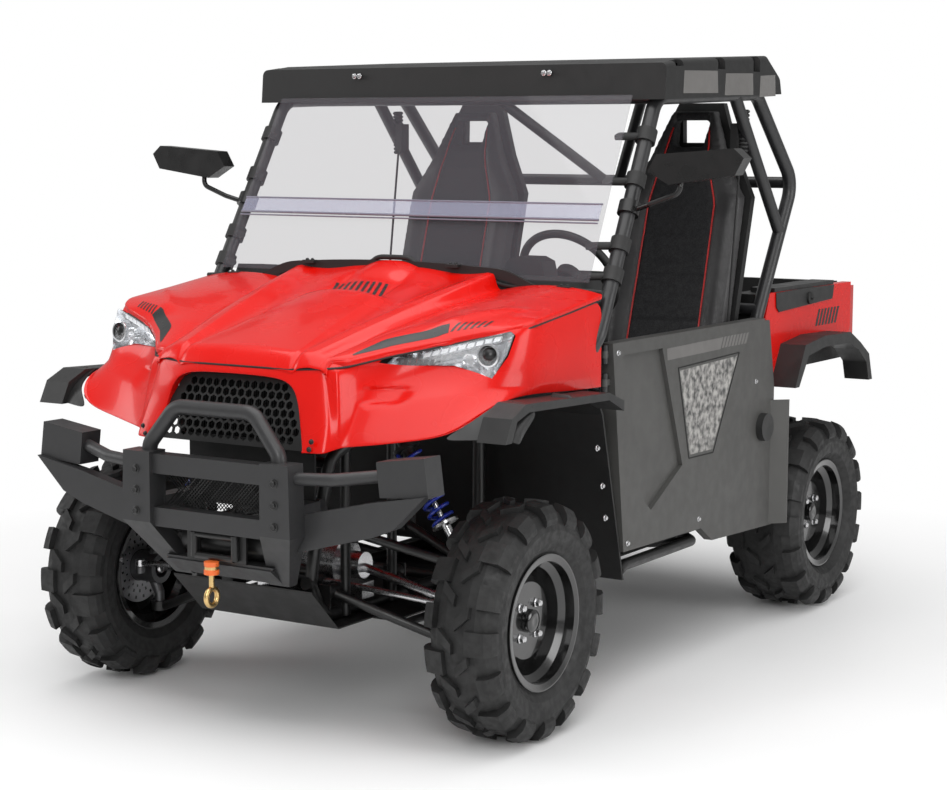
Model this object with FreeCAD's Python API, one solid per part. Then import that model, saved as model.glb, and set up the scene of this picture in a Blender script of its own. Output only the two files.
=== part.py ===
# Side-by-side utility vehicle: two seats, roll cage, half doors, tilting bed.
# Millimetres. +X is the vehicle's left, -Y its front, +Z up, and the floor is z = 0.
# Places are first given from the middle of the wheelbase, with the axles at axle_z. save() then
# moves them to the middle of the whole box, and up or down with the tyres' radius.
import FreeCAD
import Part
import math
import os
from FreeCAD import Vector as V

os.makedirs("parts", exist_ok=True)

# Whole vehicle
wheelbase = 2080.0
front_overhang = 520.0
rear_overhang = 440.0
front_axle_y = -wheelbase / 2
rear_axle_y = wheelbase / 2
front_reach = front_overhang - front_axle_y
rear_reach = rear_overhang + rear_axle_y
mid_y = (front_reach - rear_reach) / 2

# Tyres and rims
tyre_r = 343.0
axle_z = 343.0
bead_r = 178.0
lip_r = 195.0
lip_depth = 8.0
rim_wall = 4.0
well_r = 158.0
disc_inset = 58.0
disc_r = 110.0
cap_r = 33.0
stud_circle_r = 62.0
front_tyre_w = 229.0
front_rim_w = 190.0
front_lip_x = 800.0
rear_tyre_w = 279.0
rear_rim_w = 215.0
rear_lip_x = 772.0
lug_rows = 16
lug_height = 15.0
brake_r = 118.0
brake_wall = 5.0
brake_inset = 48.0
hub_r = 48.0
bell_r = 30.0

# Steering and suspension
kingpin_x = 610.0
steer_arm = 90.0
ball_z = 105.0
arm_tube_d = 28.0
lower_pivot = (175.0, 390.0)
upper_pivot = (240.0, 560.0)
arm_spread = 165.0
upper_spread = 120.0
bush_half = 25.0
eye_half = 20.0
shock_tie = 0.78
shock_top = (300.0, 850.0)
rear_shock_z = 800.0
seat_gap = 0.3
spring_d = 78.0
shaft_d = 26.0
gearcase_z = 440.0
rack_z = 400.0
tie_rod_d = 18.0
column_angle = 32.0
wheel_rim_d = 350.0
wheel_grip_d = 27.0
steer_x = 415.0
steer_y = -235.0
steer_z = 1262.0

engine_rear_y = 835.0

# Frame and cage
frame_d = 38.0
rail_z = 324.0
post_x = 198.0
seat_frame_y = 600.0
front_joint_y = front_axle_y + 270
rear_joint_y = rear_axle_y - 330
belly_wall = 4.7
rail_x = 180.0
floor_rail_x = 330.0
belly_z = 300.0
sill_x = 715.0
sill_z = 392.0
sill_d = 36.0
cage_d = 46.0
cage_x = 715.0
pillar_base_y = -632.0
pillar_base_z = 1120.0
pillar_top_y = -232.0
cage_top_z = 1822.0
cage_rear_z = 1850.0
cage_rear_y = 501.0
elbow_y = 826.0
elbow_z = 1547.0
hoop_low_y = 600.0
hoop_low_z = 1083.0
brace_y = 332.0
brace_join_z = 1375.0

# Body
body_x = 745.0
skin = 4.0
hood_front_y = front_axle_y - 326
hood_front_z = 1110.0
hood_front_x = 211.0
cowl_y = -625.0
cowl_z = 1300.0
fender_z = 1236.0
fender_front_y = front_axle_y - 120
fender_front_z = 1180.0
arch_z = 975.0
nose_low_y = front_axle_y - 426
nose_low_z = 832.0
nose_slope = 0.36
fascia_low_y = front_axle_y - 285
fascia_low_z = 885.0
flare_x = 836.0
rear_flare_x = 796.0

# Roof and windshield
roof_x = 770.0
roof_front_y = -285.0
roof_rear_y = 590.0
roof_low_z = 1815.0
roof_depth = 125.0
roof_rise = 34.0
glass_wall = 6.0
glass_base_y = -606.0
glass_base_z = 1290.0
glass_top_y = -300.0
glass_top_z = 1826.0

# Cab
door_x = 750.0
door_wall = 46.0
floor_z = 410.3
seat_x = 450.0
seat_w = 480.0
back_top_z = 1822.0
hinge_x = 728.0
hinge_y = -575.0
hinge_d = 22.0
hinge_pin_d = 10.0
hinge_length = 56.0
hinge_rows = (945.0, 1030.0)
pin_play = 0.8
lid_hinge_x = 600.0

# Bed
bed_x = 700.0
bed_front_y = 640.0
bed_rear_y = rear_reach - 40
bed_floor_z = 905.0
bed_top_z = 1168.0
bed_wall = 35.0
tilt_y = rear_reach - 230
tilt_z = 690.0
tilt_lug_x = 280.0
gate_hinge_x = 300.0
gate_hinge_y = bed_rear_y + 18
gate_hinge_z = 893.0
tilt_pin_d = 20.0
gate_wall = 30.0
lid_front_y = 730.0
lid_rear_y = bed_rear_y - 170

# Hitch receiver
receiver_inner = 51.0
receiver_wall = 6.5
receiver_z = 430.0
receiver_length = 137.0
receiver_pin_d = 16.3


def box(x0, x1, y0, y1, z0, z1):
    """A block between two corners, given in any order."""
    return Part.makeBox(abs(x1 - x0), abs(y1 - y0), abs(z1 - z0), V(min(x0, x1), min(y0, y1), min(z0, z1)))


def rod(a, b, d):
    """A round bar of diameter d from a to b."""
    start, end = V(*a), V(*b)
    return Part.makeCylinder(d / 2, (end - start).Length, start, end - start)


def mirrored(shape):
    """The same shape on the vehicle's right."""
    return shape.mirror(V(0, 0, 0), V(1, 0, 0))


def both(shapes):
    """Shapes of the left side with those of the right side."""
    return list(shapes) + [mirrored(shape) for shape in shapes]


def fuse(shapes):
    """One solid from shapes that overlap."""
    shapes = list(shapes)
    if len(shapes) == 1:
        return shapes[0]
    return shapes[0].fuse(shapes[1:]).removeSplitter()


def biggest(shape):
    """The largest solid of a cut shape."""
    return max(shape.Solids, key=lambda solid: solid.Volume)


def polygon(points, axis, at):
    """A flat face from 2-D points, square to axis x, y or z."""
    if axis == "x":
        corners = [V(at, p[0], p[1]) for p in points]
    elif axis == "y":
        corners = [V(p[0], at, p[1]) for p in points]
    else:
        corners = [V(p[0], p[1], at) for p in points]
    return Part.Face(Part.makePolygon(corners + [corners[0]]))


def slab(points, axis, start, end):
    """A prism on 2-D points, between two places along axis."""
    along = {"x": V(1, 0, 0), "y": V(0, 1, 0), "z": V(0, 0, 1)}[axis]
    return polygon(points, axis, start).extrude(along * (end - start))


def bent_tube(points, d, bend):
    """A tube of straight runs joined by tangent arcs of radius bend."""
    pts = [V(*p) for p in points]
    pieces = []
    start = pts[0]
    for before, corner, after in zip(pts, pts[1:], pts[2:]):
        back = (before - corner).normalize()
        ahead = (after - corner).normalize()
        half = (math.pi - back.getAngle(ahead)) / 2
        room = 0.48 * min((before - corner).Length, (after - corner).Length)
        cut = min(bend * math.tan(half), room)
        radius = cut / math.tan(half)
        a = corner + back * cut
        b = corner + ahead * cut
        centre = corner + (back + ahead).normalize() * (radius / math.cos(half))
        disc = Part.Face(Part.Wire(Part.makeCircle(d / 2, a, back)))
        pieces.append(rod(tuple(start), tuple(a), d))
        pieces.append(disc.revolve(centre, (a - centre).cross(b - centre), math.degrees(2 * half)))
        start = b
    pieces.append(rod(tuple(start), tuple(pts[-1]), d))
    return fuse(pieces)


def sheet(rows, along):
    """A curved sheet through rows of points, given its wall by the vector along."""
    surface = Part.BSplineSurface()
    surface.interpolate([[V(*p) for p in row] for row in rows])
    return surface.toShape().extrude(V(*along))


def turned(points, centre, side):
    """A solid of revolution about the wheel's axle: points are (outward x, radius)."""
    corners = [V(x, 0, r) for x, r in points]
    face = Part.Face(Part.makePolygon(corners + [corners[0]]))
    solid = face.revolve(V(0, 0, 0), V(1, 0, 0), 360)
    if side < 0:
        solid = mirrored(solid)
    solid.translate(V(*centre))
    return solid


def save(name, shapes):
    """Write one node, moved to the whole box's middle and to the height of its tyres."""
    solids = [solid for shape in shapes for solid in shape.Solids]
    for solid in solids:
        if not solid.isValid() or solid.Volume <= 0:
            print("NOT VALID", name, solid.Volume)
    whole = solids[0] if len(solids) == 1 else Part.makeCompound(solids)
    whole.translate(V(0, mid_y, tyre_r - axle_z))
    whole.exportStep("parts/" + name + ".step")
    print(name, len(solids), "solids", round(whole.BoundBox.YMin), round(whole.BoundBox.YMax))


# Wheels
def rim(width):
    """Steel rim with a deep dish, its disc, hub and brake disc; outward is +X."""
    h = width / 2
    seat = 34.0
    drop = 14.0
    disc_x = h - disc_inset
    barrel = [(-h, lip_r), (-h + lip_depth, lip_r), (-h + lip_depth, bead_r), (-h + seat, bead_r),
              (-h + seat + drop, well_r), (h - seat - drop, well_r), (h - seat, bead_r),
              (h - lip_depth, bead_r), (h - lip_depth, lip_r), (h, lip_r), (h, lip_r - rim_wall)]
    inside = [(h - rim_wall, bead_r - rim_wall), (h - seat, bead_r - rim_wall),
              (h - seat - drop, well_r - rim_wall), (-h + seat + drop, well_r - rim_wall),
              (-h + seat, bead_r - rim_wall), (-h + rim_wall, bead_r - rim_wall), (-h, lip_r - rim_wall)]
    dish = [(disc_x - 26, well_r), (disc_x - 8, disc_r + 14), (disc_x, disc_r), (disc_x, 0),
            (disc_x - 6, 0), (disc_x - 6, disc_r - 4), (disc_x - 14, disc_r + 10), (disc_x - 34, well_r)]
    cap = [(disc_x, 0), (disc_x, cap_r), (disc_x + 18, cap_r - 2), (disc_x + 22, cap_r - 8), (disc_x + 22, 0)]
    brake_x = disc_x - brake_inset
    hub = [(disc_x - 6, 0), (disc_x - 6, hub_r + 20), (disc_x - 14, hub_r + 20), (disc_x - 16, hub_r),
           (brake_x, hub_r), (brake_x, brake_r), (brake_x - brake_wall, brake_r), (brake_x - brake_wall, 0)]
    return barrel + inside, dish, cap, hub


def tyre_outline(width, rim_width):
    """Half section of a tyre's carcass, out to the floor between the lugs."""
    h = width / 2
    foot = rim_width / 2 - lip_depth
    floor = tyre_r - lug_height
    right = [(foot, bead_r), (foot, lip_r + 2), (h - 12, lip_r + 28), (h - 4, lip_r + 68), (h - 8, tyre_r - 62),
             (h - 28, tyre_r - 32), (h - 56, floor - 4), (h - 84, floor)]
    left = [(-x, r) for x, r in reversed(right)]
    return right + left


def shoulder_lug(width, reach):
    """One lug of a tyre's +X shoulder, from the sidewall to reach inside the tyre's edge."""
    h = width / 2
    outline = [(h - 9, tyre_r - 70), (h - 1, tyre_r - 60), (h, tyre_r - 46), (h - 5, tyre_r - 30), (h - 20, tyre_r - 10),
               (h - reach, tyre_r - 2), (h - reach - 5, tyre_r - 24), (h - 32, tyre_r - 40), (h - 14, tyre_r - 66)]
    turn = 360 / lug_rows * 0.52
    corners = [V(x, 0, r) for x, r in outline]
    face = Part.Face(Part.makePolygon(corners + [corners[0]]))
    lug = face.revolve(V(0, 0, 0), V(1, 0, 0), turn)
    lug.rotate(V(0, 0, 0), V(1, 0, 0), -turn / 2)
    return lug


def centre_lug():
    """One slanted block beside a tyre's middle, rounded off at the tyre's radius."""
    block = slab([(4, -34), (46, 4), (46, 34), (4, -4)], "z", tyre_r - lug_height - 9, tyre_r + 5)
    return block.common(Part.makeCylinder(tyre_r, 60, V(0, 0, 0), V(1, 0, 0)))


def tread(width):
    """Every lug of a tyre: long and short ones take turns round each shoulder, with pairs between them."""
    long_lug, short_lug, block = shoulder_lug(width, 78), shoulder_lug(width, 48), centre_lug()
    step = 360 / lug_rows
    lugs = []
    for row in range(lug_rows):
        for part, turn in (((long_lug, short_lug)[row % 2], 0), (block, step / 2)):
            left = part.copy()
            left.rotate(V(0, 0, 0), V(1, 0, 0), step * row + turn)
            right = mirrored(part)
            right.rotate(V(0, 0, 0), V(1, 0, 0), step * (row + 0.5) + turn)
            lugs += [left, right]
    return lugs


def tyre(width, rim_width):
    """A tyre on its own axle: the carcass with its lugs."""
    carcass = turned(tyre_outline(width, rim_width), (0, 0, 0), 1)
    return carcass.fuse(tread(width))


def wheel(name, rubber, rim_w, lip_x, axle_y, side):
    centre = (side * (lip_x - rim_w / 2), axle_y, axle_z)
    barrel, dish, cap, hub = rim(rim_w)
    steel = fuse([turned(part, centre, side) for part in (barrel, dish, cap, hub)])
    nuts = []
    disc_x = rim_w / 2 - disc_inset
    for step in range(4):
        angle = math.radians(45 + 90 * step)
        y = axle_y + stud_circle_r * math.cos(angle)
        z = axle_z + stud_circle_r * math.sin(angle)
        inner = centre[0] + side * disc_x
        nuts.append(rod((inner - side * 2, y, z), (inner + side * 16, y, z), 19))
    save("rim_" + name, [fuse([steel] + nuts)])
    placed = rubber if side > 0 else mirrored(rubber)
    placed = placed.copy()
    placed.translate(V(*centre))
    save("tyre_" + name, [placed])


def wheels():
    front, rear = tyre(front_tyre_w, front_rim_w), tyre(rear_tyre_w, rear_rim_w)
    for side, word in ((1, "left"), (-1, "right")):
        wheel("front_" + word, front, front_rim_w, front_lip_x, front_axle_y, side)
        wheel("rear_" + word, rear, rear_rim_w, rear_lip_x, rear_axle_y, side)


# Running gear
def brake_face(rim_w, lip_x):
    """Inner face of the brake disc, from the centre plane."""
    return lip_x - disc_inset - brake_inset - brake_wall


def caliper(face, axle_y, y_side):
    """Caliper over the brake disc's edge, open where the disc runs."""
    block = box(face - 26, face + brake_wall + 13, axle_y + y_side * 70, axle_y + y_side * 118, axle_z + 10, axle_z + 68)
    slot = Part.makeCylinder(brake_r + 5, brake_wall + 10, V(face - 5, axle_y, axle_z), V(1, 0, 0))
    return block.cut(slot)


def knuckle():
    """Front knuckle: hub carrier with the shaft's bell, ball joint arms, steering arm and caliper."""
    face = brake_face(front_rim_w, front_lip_x)
    y, z = front_axle_y, axle_z
    carrier = rod((kingpin_x - 10, y, z), (face - seat_gap, y, z), 2 * hub_r)
    bell = rod((kingpin_x - 12, y, z), (kingpin_x + 22, y, z), 2 * bell_r)
    arms = []
    for s in (1, -1):
        joint = (kingpin_x, y, z + s * ball_z)
        arms.append(rod((face - 36, y, z), (kingpin_x, y, z + s * (ball_z - 26)), 34))
        arms.append(rod((kingpin_x, y, z + s * (ball_z - 34)), joint, 30))
    tip = (kingpin_x, y - steer_arm, rack_z - 48)
    steer = [rod((face - 36, y - 20, z), (kingpin_x + 16, y - 70, z + 6), 26),
             rod((kingpin_x + 16, y - 70, z + 6), tip, 24),
             rod((tip[0], tip[1], tip[2] - 9), (tip[0], tip[1], tip[2] + 11), 30)]
    grip = caliper(face, y, 1)
    bridge = box(face - 46, face - 24, y + 20, y + 112, z + 20, z + 56)
    return fuse([carrier] + arms + steer + [grip, bridge]).cut(bell)


def rear_upright():
    """Rear hub carrier: a clevis above and below, and the caliper."""
    face = brake_face(rear_rim_w, rear_lip_x)
    y, z = rear_axle_y, axle_z
    carrier = rod((face - 60, y, z), (face - seat_gap, y, z), 2 * hub_r)
    web = box(face - 88, face - 52, y - 34, y + 34, z - ball_z - 26, z + ball_z + 26)
    slots = [box(face - 90, face - 60, y - eye_half - 0.3, y + eye_half + 0.3, z + s * ball_z - 27, z + s * ball_z + 27)
             for s in (1, -1)]
    grip = caliper(face, y, -1)
    bridge = box(face - 56, face - 24, y - 112, y - 20, z + 20, z + 56)
    return fuse([carrier, web, grip, bridge]).cut(slots[0]).cut(slots[1])


def wishbone(axle_y, pivot, tip, spread, eye, tie_at):
    """An A-arm: two tubes from the frame to its outer eye, tied by a cross tube."""
    x, z = pivot
    reach = V(tip[0] - 22, tip[1], tip[2])
    feet = [V(x, axle_y + s * spread, z) for s in (-1, 1)]
    legs = [rod(tuple(foot), tuple(reach), arm_tube_d) for foot in feet]
    bushes = [rod(tuple(foot - V(0, bush_half, 0)), tuple(foot + V(0, bush_half, 0)), 42) for foot in feet]
    middle = [foot + (reach - foot) * tie_at for foot in feet]
    tie = rod(tuple(middle[0]), tuple(middle[1]), arm_tube_d - 4)
    return fuse([eye, tie] + legs + bushes)


def ball_eye(tip):
    """Upright ball joint housing at the end of a front arm."""
    return rod((tip[0], tip[1], tip[2] - 14), (tip[0], tip[1], tip[2] + 14), 52)


def bush_eye(tip):
    """Bush across the end of a rear arm."""
    return rod((tip[0], tip[1] - eye_half, tip[2]), (tip[0], tip[1] + eye_half, tip[2]), 38)


def front_arms():
    drop = ball_z + 14 + seat_gap
    low_tip = (kingpin_x, front_axle_y, axle_z - drop)
    top_tip = (kingpin_x, front_axle_y, axle_z + drop)
    low = wishbone(front_axle_y, lower_pivot, low_tip, arm_spread, ball_eye(low_tip), 0.5)
    top = wishbone(front_axle_y, upper_pivot, top_tip, upper_spread, ball_eye(top_tip), shock_tie)
    return both([low, top])


def rear_arms():
    x = brake_face(rear_rim_w, rear_lip_x) - 80
    low_tip = (x, rear_axle_y, axle_z - ball_z)
    top_tip = (x, rear_axle_y, axle_z + ball_z)
    low = wishbone(rear_axle_y, lower_pivot, low_tip, arm_spread, bush_eye(low_tip), 0.5)
    top = wishbone(rear_axle_y, upper_pivot, top_tip, upper_spread, bush_eye(top_tip), shock_tie)
    return both([low, top])


def shock(top, low):
    """A coil-over damper: body, rod, two spring seats and the spring's closed outline."""
    a, b = V(*top), V(*low)
    line = b - a
    at = lambda part: tuple(a + line * part)
    coil_end = 0.76
    return fuse([rod(at(0.0), at(0.55), 40), rod(at(0.5), at(1.0), 16), rod(at(0.15), at(coil_end), spring_d),
                 rod(at(0.13), at(0.16), spring_d + 8), rod(at(coil_end - 0.01), at(coil_end + 0.02), spring_d + 8),
                 rod((top[0], top[1] - 20, top[2]), (top[0], top[1] + 20, top[2]), 34),
                 rod((low[0], low[1] - 20, low[2]), (low[0], low[1] + 20, low[2]), 34)])


def shock_foot(tip_x, tip_z):
    """Centre of a shock's lower eye, seated on the upper arm's cross tube."""
    x = upper_pivot[0] + (tip_x - 22 - upper_pivot[0]) * shock_tie
    z = upper_pivot[1] + (tip_z - upper_pivot[1]) * shock_tie
    return x + 4, z + (arm_tube_d - 4) / 2 + 17 + seat_gap


def shocks():
    drop = ball_z + 14 + seat_gap
    fx, fz = shock_foot(kingpin_x, axle_z + drop)
    rx, rz = shock_foot(brake_face(rear_rim_w, rear_lip_x) - 80, axle_z + ball_z)
    front = shock((shock_top[0], front_axle_y, shock_top[1]), (fx, front_axle_y, fz))
    rear = shock((shock_top[0], rear_axle_y, rear_shock_z), (rx, rear_axle_y, rz))
    return both([front, rear])


def drive_shafts():
    """Half shafts with their joints, and the two gearcases that they leave."""
    case_x = 118.0
    inner = 180.0
    shafts = []
    end = (kingpin_x - 2, front_axle_y, axle_z)
    start = (inner, front_axle_y, gearcase_z - 6)
    shafts.append(fuse([rod((case_x + seat_gap, front_axle_y, gearcase_z), (inner + 4, front_axle_y, gearcase_z), 78),
                        rod(start, end, shaft_d), Part.makeSphere(bell_r - 12, V(*end))]))
    x = brake_face(rear_rim_w, rear_lip_x) - 88 - seat_gap
    end = (x - 50, rear_axle_y, axle_z)
    start = (inner, rear_axle_y, gearcase_z - 6)
    shafts.append(fuse([rod((case_x + seat_gap, rear_axle_y, gearcase_z), (inner + 4, rear_axle_y, gearcase_z), 78),
                        rod(start, end, shaft_d), rod((x - 56, rear_axle_y, axle_z), (x, rear_axle_y, axle_z), 72)]))
    cases = []
    for axle_y in (front_axle_y, rear_axle_y):
        foot = box(-rail_x - 14, rail_x + 14, axle_y - 30, axle_y + 30, rail_z + frame_d / 2 + seat_gap, gearcase_z - 50)
        cases.append(fuse([rod((-case_x, axle_y, gearcase_z), (case_x, axle_y, gearcase_z), 150), foot]))
    return both(shafts) + cases


# Frame
def frame_path(x):
    """Centreline of a main rail, from its rise under the nose to its step behind the rear axle."""
    front, rear = -front_reach, rear_reach
    return [(x, front + 230, 436), (x, front + 252, 430), (x, front + 308, rail_z), (x, rear - 300, rail_z),
            (x, rear - 220, rail_z + 36), (x, rear - 150, rail_z + 36)]


def bush_tabs(x0, x1, y, z0, z1):
    """Two tabs that hold a bush between them."""
    inner = bush_half + seat_gap
    return [box(x0, x1, y + s * inner, y + s * (inner + 6), z0, z1) for s in (1, -1)]


def axle_frame(axle_y, top_z):
    """Posts, cross tubes and tabs that carry one axle's arms and shocks."""
    pieces = []
    tube_z = top_z + 43
    wide = bush_half + seat_gap + 6
    for s in (1, -1):
        for e in (1, -1):
            y = axle_y + e * upper_spread
            pieces.append(rod((s * post_x, y, rail_z - 8), (s * post_x, y, tube_z + 8), 30))
            pieces.append(box(s * (post_x - 4), s * (post_x + 17), y - wide, y + wide, upper_pivot[1] - 22, upper_pivot[1] + 22))
            pieces += bush_tabs(s * (post_x + 10), s * (upper_pivot[0] + 22), y, upper_pivot[1] - 22, upper_pivot[1] + 22)
            pieces += bush_tabs(s * (lower_pivot[0] - 18), s * (lower_pivot[0] + 22), axle_y + e * arm_spread,
                                rail_z, lower_pivot[1] + 24)
            pieces.append(box(s * (shock_top[0] - 22), s * (shock_top[0] + 22), axle_y + e * 20.3, axle_y + e * 26.3,
                              top_z - 10, top_z + 32))
        pieces.append(rod((s * post_x, axle_y - upper_spread - 22, tube_z), (s * post_x, axle_y + upper_spread + 22, tube_z), 34))
        pieces.append(box(s * (shock_top[0] - 22), s * (shock_top[0] + 22), axle_y - 26.3, axle_y + 26.3, top_z + 20, top_z + 32))
    pieces.append(rod((-shock_top[0] - 30, axle_y, tube_z), (shock_top[0] + 30, axle_y, tube_z), frame_d))
    return pieces


def hinge(origin, along, length, d, pin_d):
    """Fixed and moving halves of a hinge: two end barrels on a pin, and a bored middle barrel."""
    start, way = V(*origin), V(*along)
    at = lambda part: tuple(start + way * (length * part))
    slack = way * 0.4
    ends = [rod(at(0), at(0.3), d), rod(at(0.7), at(1), d)]
    pin = rod(at(0.1), at(0.9), pin_d)
    first, last = start + way * (length * 0.3) + slack, start + way * (length * 0.7) - slack
    middle = rod(tuple(first), tuple(last), d).cut(rod(at(0.2), at(0.8), pin_d + pin_play))
    return fuse(ends + [pin]), middle


def door_hinges():
    """The two hinges of the left door, on an upright axis ahead of the door."""
    return [hinge((hinge_x, hinge_y, z), (0, 0, 1), hinge_length, hinge_d, hinge_pin_d) for z in hinge_rows]


def rack_mount():
    """Cross tube between the rails with the rack's bored housing on it."""
    y = front_axle_y - steer_arm
    house = rod((-100, y, rack_z), (100, y, rack_z), 36)
    legs = [box(s * 70, s * 96, y - 8, y + 8, rail_z, rack_z) for s in (1, -1)]
    tie = rod((-rail_x, y, rail_z), (rail_x, y, rail_z), 30)
    return fuse([house, tie] + legs).cut(rod((-120, y, rack_z), (120, y, rack_z), tie_rod_d + pin_play))


def frame_tubes():
    """Every tube, cross tube, bracket and tab of the welded frame, before they are joined."""
    tubes = []
    nose_y = 254 - front_reach
    wall_y = -640.0
    end_y = rear_reach - 180
    for s in (1, -1):
        front_hoop = [(s * rail_x, nose_y, 434), (s * 215, nose_y, 640), (s * 235, nose_y + 26, 800),
                      (s * 300, front_axle_y - 60, 905), (s * 330, wall_y, 905), (s * 330, wall_y, rail_z - 8)]
        rear_hoop = [(s * rail_x, end_y - 6, rail_z + 30), (s * 240, end_y - 10, 690), (s * 240, rear_axle_y - 160, 765),
                     (s * 600, seat_frame_y, 770), (s * 600, seat_frame_y, sill_z - 6)]
        sill = [(s * sill_x, -445, sill_z - 12), (s * sill_x, -415, sill_z), (s * sill_x, 60, sill_z), (s * 640, 140, sill_z)]
        tubes += [bent_tube(frame_path(s * rail_x), frame_d, 90), bent_tube(front_hoop, frame_d, 60),
                  bent_tube(rear_hoop, frame_d, 60), bent_tube(sill, sill_d, 30)]
        for y in (-400, 40):
            tubes.append(rod((s * rail_x, y, rail_z + 1), (s * (sill_x - 1), y, sill_z - 1), frame_d - 6))
        tubes.append(box(s * 334, s * 354, wall_y - 95, wall_y - 35, 870, 940))
        tubes.append(box(s * 570, s * 700, seat_frame_y - 33, seat_frame_y + 33, 783, 793))
        tubes.append(box(s * 202, s * 236, nose_y - 34, nose_y + 2, 617, 684))
        tubes.append(box(s * 239, s * (tilt_lug_x - 8), tilt_y - 21, tilt_y + 21, tilt_z - 21, tilt_z + 21))
        tubes.append(rod((s * 241, tilt_y, tilt_z), (s * (tilt_lug_x + 10), tilt_y, tilt_z), tilt_pin_d - 0.6))
    crosses = [(nose_y, 470, 183), (nose_y + 22, 780, 231), (wall_y - 22, 905, 329), (wall_y, rail_z + 14, 330),
               (seat_frame_y, sill_z + 30, 600), (seat_frame_y + 30, 769, 570), (end_y - 12, 672, 236),
               (end_y, rail_z + 35, rail_x)]
    for y, z, x in crosses:
        tubes.append(rod((-x, y, z), (x, y, z), frame_d - 6))
    tubes += axle_frame(front_axle_y, shock_top[1])
    tubes += axle_frame(rear_axle_y, rear_shock_z)
    tubes.append(rack_mount())
    return tubes


def frames():
    """The frame as its three welded sections, which meet end to end at bolted joints."""
    whole = fuse(frame_tubes())
    for y in (front_joint_y, rear_joint_y):
        whole = whole.cut(box(-900, 900, y - seat_gap / 2, y + seat_gap / 2, 200, 1100))
    sections = []
    for low, high in ((-front_reach, front_joint_y), (front_joint_y, rear_joint_y), (rear_joint_y, rear_reach)):
        sections.append([solid for solid in whole.Solids if low < solid.BoundBox.Center.y < high])
    return sections


def belly_pan():
    """Flat skid plate under the frame, turned up at the front."""
    y = front_axle_y
    pan = box(-floor_rail_x, floor_rail_x, y - 60, rear_axle_y + 160, belly_z, belly_z + belly_wall)
    front = slab([(y - 59, belly_z), (y - 227, belly_z), (y - 355, 425), (y - 355, 430), (y - 230, belly_z + belly_wall),
                  (y - 59, belly_z + belly_wall)], "x", -250, 250)
    return [fuse([pan, front])]


def engine():
    return [box(-230, 230, engine_rear_y - 195, engine_rear_y, rail_z + frame_d / 2 + seat_gap, 740)]


def exhaust():
    y = rear_reach - 100
    tube_y = rear_reach - 192
    can = rod((-200, y, 600), (200, y, 600), 140)
    pipe = rod((0, engine_rear_y + seat_gap, 600), (0, y - 40, 600), 45)
    tip = rod((150, y, 600), (150, y + 85, 590), 52)
    seat = rod((-100, tube_y, 672), (100, tube_y, 672), frame_d - 6 + 2 * seat_gap)
    hanger = box(-80, 80, tube_y - 20, y - 35, 630, 690).cut(seat)
    return [fuse([can, pipe, tip, hanger])]


def hitch_receiver():
    """Square receiver tube on the frame's rear end, with a cross hole for its pin."""
    half = receiver_inner / 2 + receiver_wall
    y0 = rear_reach - 150 + 8
    y1 = y0 + receiver_length
    tube = box(-half, half, y0, y1, receiver_z - half, receiver_z + half)
    bore = box(-receiver_inner / 2, receiver_inner / 2, y0 - 1, y1 + 1, receiver_z - receiver_inner / 2,
               receiver_z + receiver_inner / 2)
    pin = rod((-half - 1, y1 - 60, receiver_z), (half + 1, y1 - 60, receiver_z), receiver_pin_d)
    plate = box(-210, 210, y0 - 8, y0, rail_z + 10, receiver_z + 60)
    return [fuse([tube, plate]).cut(bore).cut(pin)]


# Roll cage
def side_hoop(s):
    """One side of the cage in a single bent tube, from the fender to behind the seat."""
    path = [(s * 690, -705, 980), (s * 738, pillar_base_y, pillar_base_z), (s * 712, pillar_top_y, cage_top_z),
            (s * cage_x, cage_rear_y, cage_rear_z), (s * cage_x, elbow_y, elbow_z),
            (s * 690, hoop_low_y, hoop_low_z), (s * 660, seat_frame_y, 801)]
    return bent_tube(path, cage_d, 90)


def hinge_plate():
    """Plate on the cage's foot with the fixed halves of the left door's hinges."""
    pieces = [slab([(-700, 985), (hinge_y - 12, 950), (hinge_y - 12, 1083), (-650, 1083)], "x", hinge_x - 21, hinge_x - 9)]
    barrel = hinge_length * 0.3 - 2
    for z in hinge_rows:
        for low in (z + 1, z + hinge_length - barrel - 1):
            pieces.append(box(hinge_x - 15, hinge_x - 4, hinge_y - 16, hinge_y - 3, low, low + barrel))
    return fuse(pieces + [fixed for fixed, moving in door_hinges()])


def roll_cage():
    run = (brace_join_z - hoop_low_z) / (elbow_z - hoop_low_z)
    join_y = hoop_low_y + (elbow_y - hoop_low_y) * run
    join_x = 690 + (cage_x - 690) * run
    tubes = []
    for s in (1, -1):
        tubes.append(side_hoop(s))
        tubes.append(rod((s * cage_x, brace_y, cage_rear_z - 8), (s * join_x, join_y, brace_join_z), cage_d - 4))
        tubes.append(rod((s * 300, cage_rear_y - 20, cage_rear_z - 2), (s * 30, elbow_y - 6, elbow_z), cage_d - 8))
        tubes.append(rod((s * 694, -705, 982), (s * 362, -705, 905), cage_d - 2))
        tubes.append(box(s * 354.0, s * 364, -735, -675, 870, 940))
        tubes.append(box(s * 610, s * 700, seat_frame_y - 34, seat_frame_y + 34, 793, 803))
    crosses = [(712, pillar_top_y + 30, cage_top_z + 1), (cage_x, cage_rear_y - 20, cage_rear_z), (cage_x, elbow_y - 4, elbow_z),
               (690, hoop_low_y + 10, hoop_low_z + 30)]
    for x, y, z in crosses:
        tubes.append(rod((-x, y, z), (x, y, z), cage_d - 6))
    return [fuse(tubes + both([hinge_plate()]))]


# Roof and windshield
def roof_slope(y):
    return (y - roof_front_y) * roof_rise / (roof_rear_y - roof_front_y)


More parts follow.
